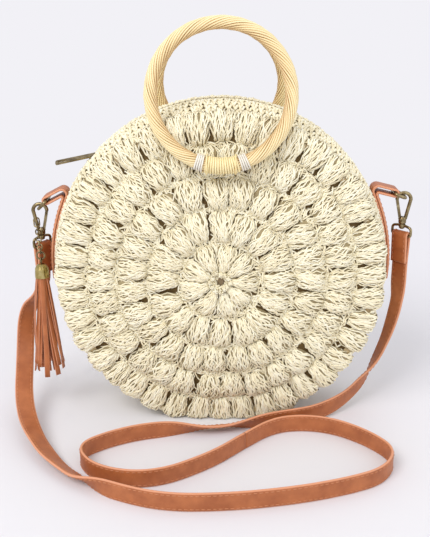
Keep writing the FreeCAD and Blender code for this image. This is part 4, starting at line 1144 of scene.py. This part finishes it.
def smooth_line(points):
    """Points read from a smooth curve that has these as its control points."""
    curve = bpy.data.curves.new("route", "CURVE")
    curve.dimensions = "3D"
    curve.resolution_u = 14
    spline = curve.splines.new("NURBS")
    spline.points.add(len(points) - 1)
    spline.points.foreach_set("co", np.column_stack([points, np.ones(len(points))]).ravel())
    spline.order_u = 3
    spline.use_endpoint_u = True
    holder = new_object("route", curve)
    bpy.context.view_layer.update()
    mesh = bpy.data.meshes.new_from_object(holder)
    line = np.empty(3 * len(mesh.vertices))
    mesh.vertices.foreach_get("co", line)
    bpy.data.meshes.remove(mesh)
    bpy.data.objects.remove(holder)
    bpy.data.curves.remove(curve)
    return line.reshape(-1, 3)


def widths_along(line, points, across):
    """The strap's width direction along its line, eased between those at the nearest run's ends."""
    start = points[:-1]
    run = points[1:] - start
    away = line[:, None] - start
    share = np.clip(np.sum(away * run, axis=-1) / np.sum(run * run, axis=-1), 0.0, 1.0)
    miss = np.linalg.norm(away - share[..., None] * run, axis=-1)
    best = miss.argmin(axis=1)
    share = share[np.arange(len(line)), best]
    ease = (share * share * (3 - 2 * share))[:, None]
    return unit(across[best] * (1 - ease) + across[best + 1] * ease)


drop = np.array([0.0, 0.0, STRAP_DROP])
right_start, right_across = strap_starts["right"]
left_start, left_across = strap_starts["left"]
route = [(right_start, right_across), (right_start - drop, right_across)]
route += RIGHT_LEAD + FLOOR_LOOPS + LEFT_LEAD
route += [(left_start - drop, -left_across), (left_start, -left_across)]
route_points = np.array([point for point, _ in route])
route_across = unit(np.array([across for _, across in route]))
line = smooth_line(route_points)
widths = widths_along(line, route_points, route_across)
middle = np.linalg.norm(line - route_points[HALFWAY], axis=-1).argmin()
halves = {
    "right": (line[: middle + 1], widths[: middle + 1]),
    "left": (line[middle:][::-1], widths[middle:][::-1]),
}
for hand, (points, across) in halves.items():
    length = float(length_of(points))
    sewn = (STRAP_UNSEWN, length - STRAP_UNSEWN)
    strip = stitched_strip(points, across, STRAP_WIDTH, STRAP_THICKNESS, *sewn)
    strap = make_object(hand + "_strap_half", strip, [LEATHER, STITCH])
    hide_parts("strap")
    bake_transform(strap)


# Tassel: a fringe of narrow leather strips below the bell cap

FRINGE_STRIPS = 22
FRINGE_WIDTH = 0.0048
FRINGE_THICKNESS = 0.0011
# Strips start by turns in an inner and an outer ring, this far up inside the cap
FRINGE_RINGS = (0.0022, 0.0042)
FRINGE_RISE = 0.006
FRINGE_LENGTH = (0.084, 0.099)
FRINGE_FLARE = (0.003, 0.0135)
FRINGE_BOW = 0.0014
FRINGE_SWAY = 0.0022


def build_fringe():
    """Strips lean out from the cap along a gentle curve, each in its own way, and widen downwards."""
    low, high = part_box("tassel_cap")
    middle = np.mean([low, high], axis=0)
    count = FRINGE_STRIPS
    start = np.array([middle[0], middle[1], low[2] + FRINGE_RISE])
    turn = 2 * np.pi * (np.arange(count) + rng.normal(0, 0.15, count)) / count
    out = places(np.cos(turn), np.sin(turn), 0.0)
    share = np.linspace(0.0, 1.0, 16)[None, :]
    ring = np.resize(FRINGE_RINGS, count)[:, None]
    flare = rng.uniform(*FRINGE_FLARE, (count, 1))
    bow = rng.normal(0, FRINGE_BOW, (count, 1))
    length = rng.uniform(*FRINGE_LENGTH, (count, 1))
    reach = ring + flare * share**1.2 + bow * np.sin(np.pi * share)
    aside = rng.normal(0, FRINGE_SWAY, (count, 1)) * share**2
    wide = places(-out[:, 1], out[:, 0], 0.0)
    paths = start + out[:, None] * reach[..., None] + wide[:, None] * aside[..., None]
    paths = paths - np.array([0.0, 0.0, 1.0]) * (length * share)[..., None]
    section, shade = strip_section(FRINGE_WIDTH, FRINGE_THICKNESS, 3, 2)
    taper = places(0.72 + 0.28 * share, 1.0)[:, :, None]
    return sweep(paths, wide[:, None], section * taper, section_shade=0.8 * shade)


piece("tassel_strips", build_fringe(), [LEATHER], "tassel", "leather", "tassel_fringe")


# Metal fittings keep their solids and get antique brass

METAL = ["zip_teeth_front", "zip_teeth_rear", "zip_stops", "zip_slider", "zip_pull"]
METAL += ["tassel_chain", "tassel_ring", "tassel_pin", "tassel_cap"]
for hand in SIDES:
    METAL += [hand + "_" + fitting for fitting in ("ring", "hook", "gate", "gate_pin", "swivel_eye")]
for node in METAL:
    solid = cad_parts[node]
    solid.data.materials.clear()
    solid.data.materials.append(BRIGHT_BRASS if node == "tassel_cap" else BRASS)
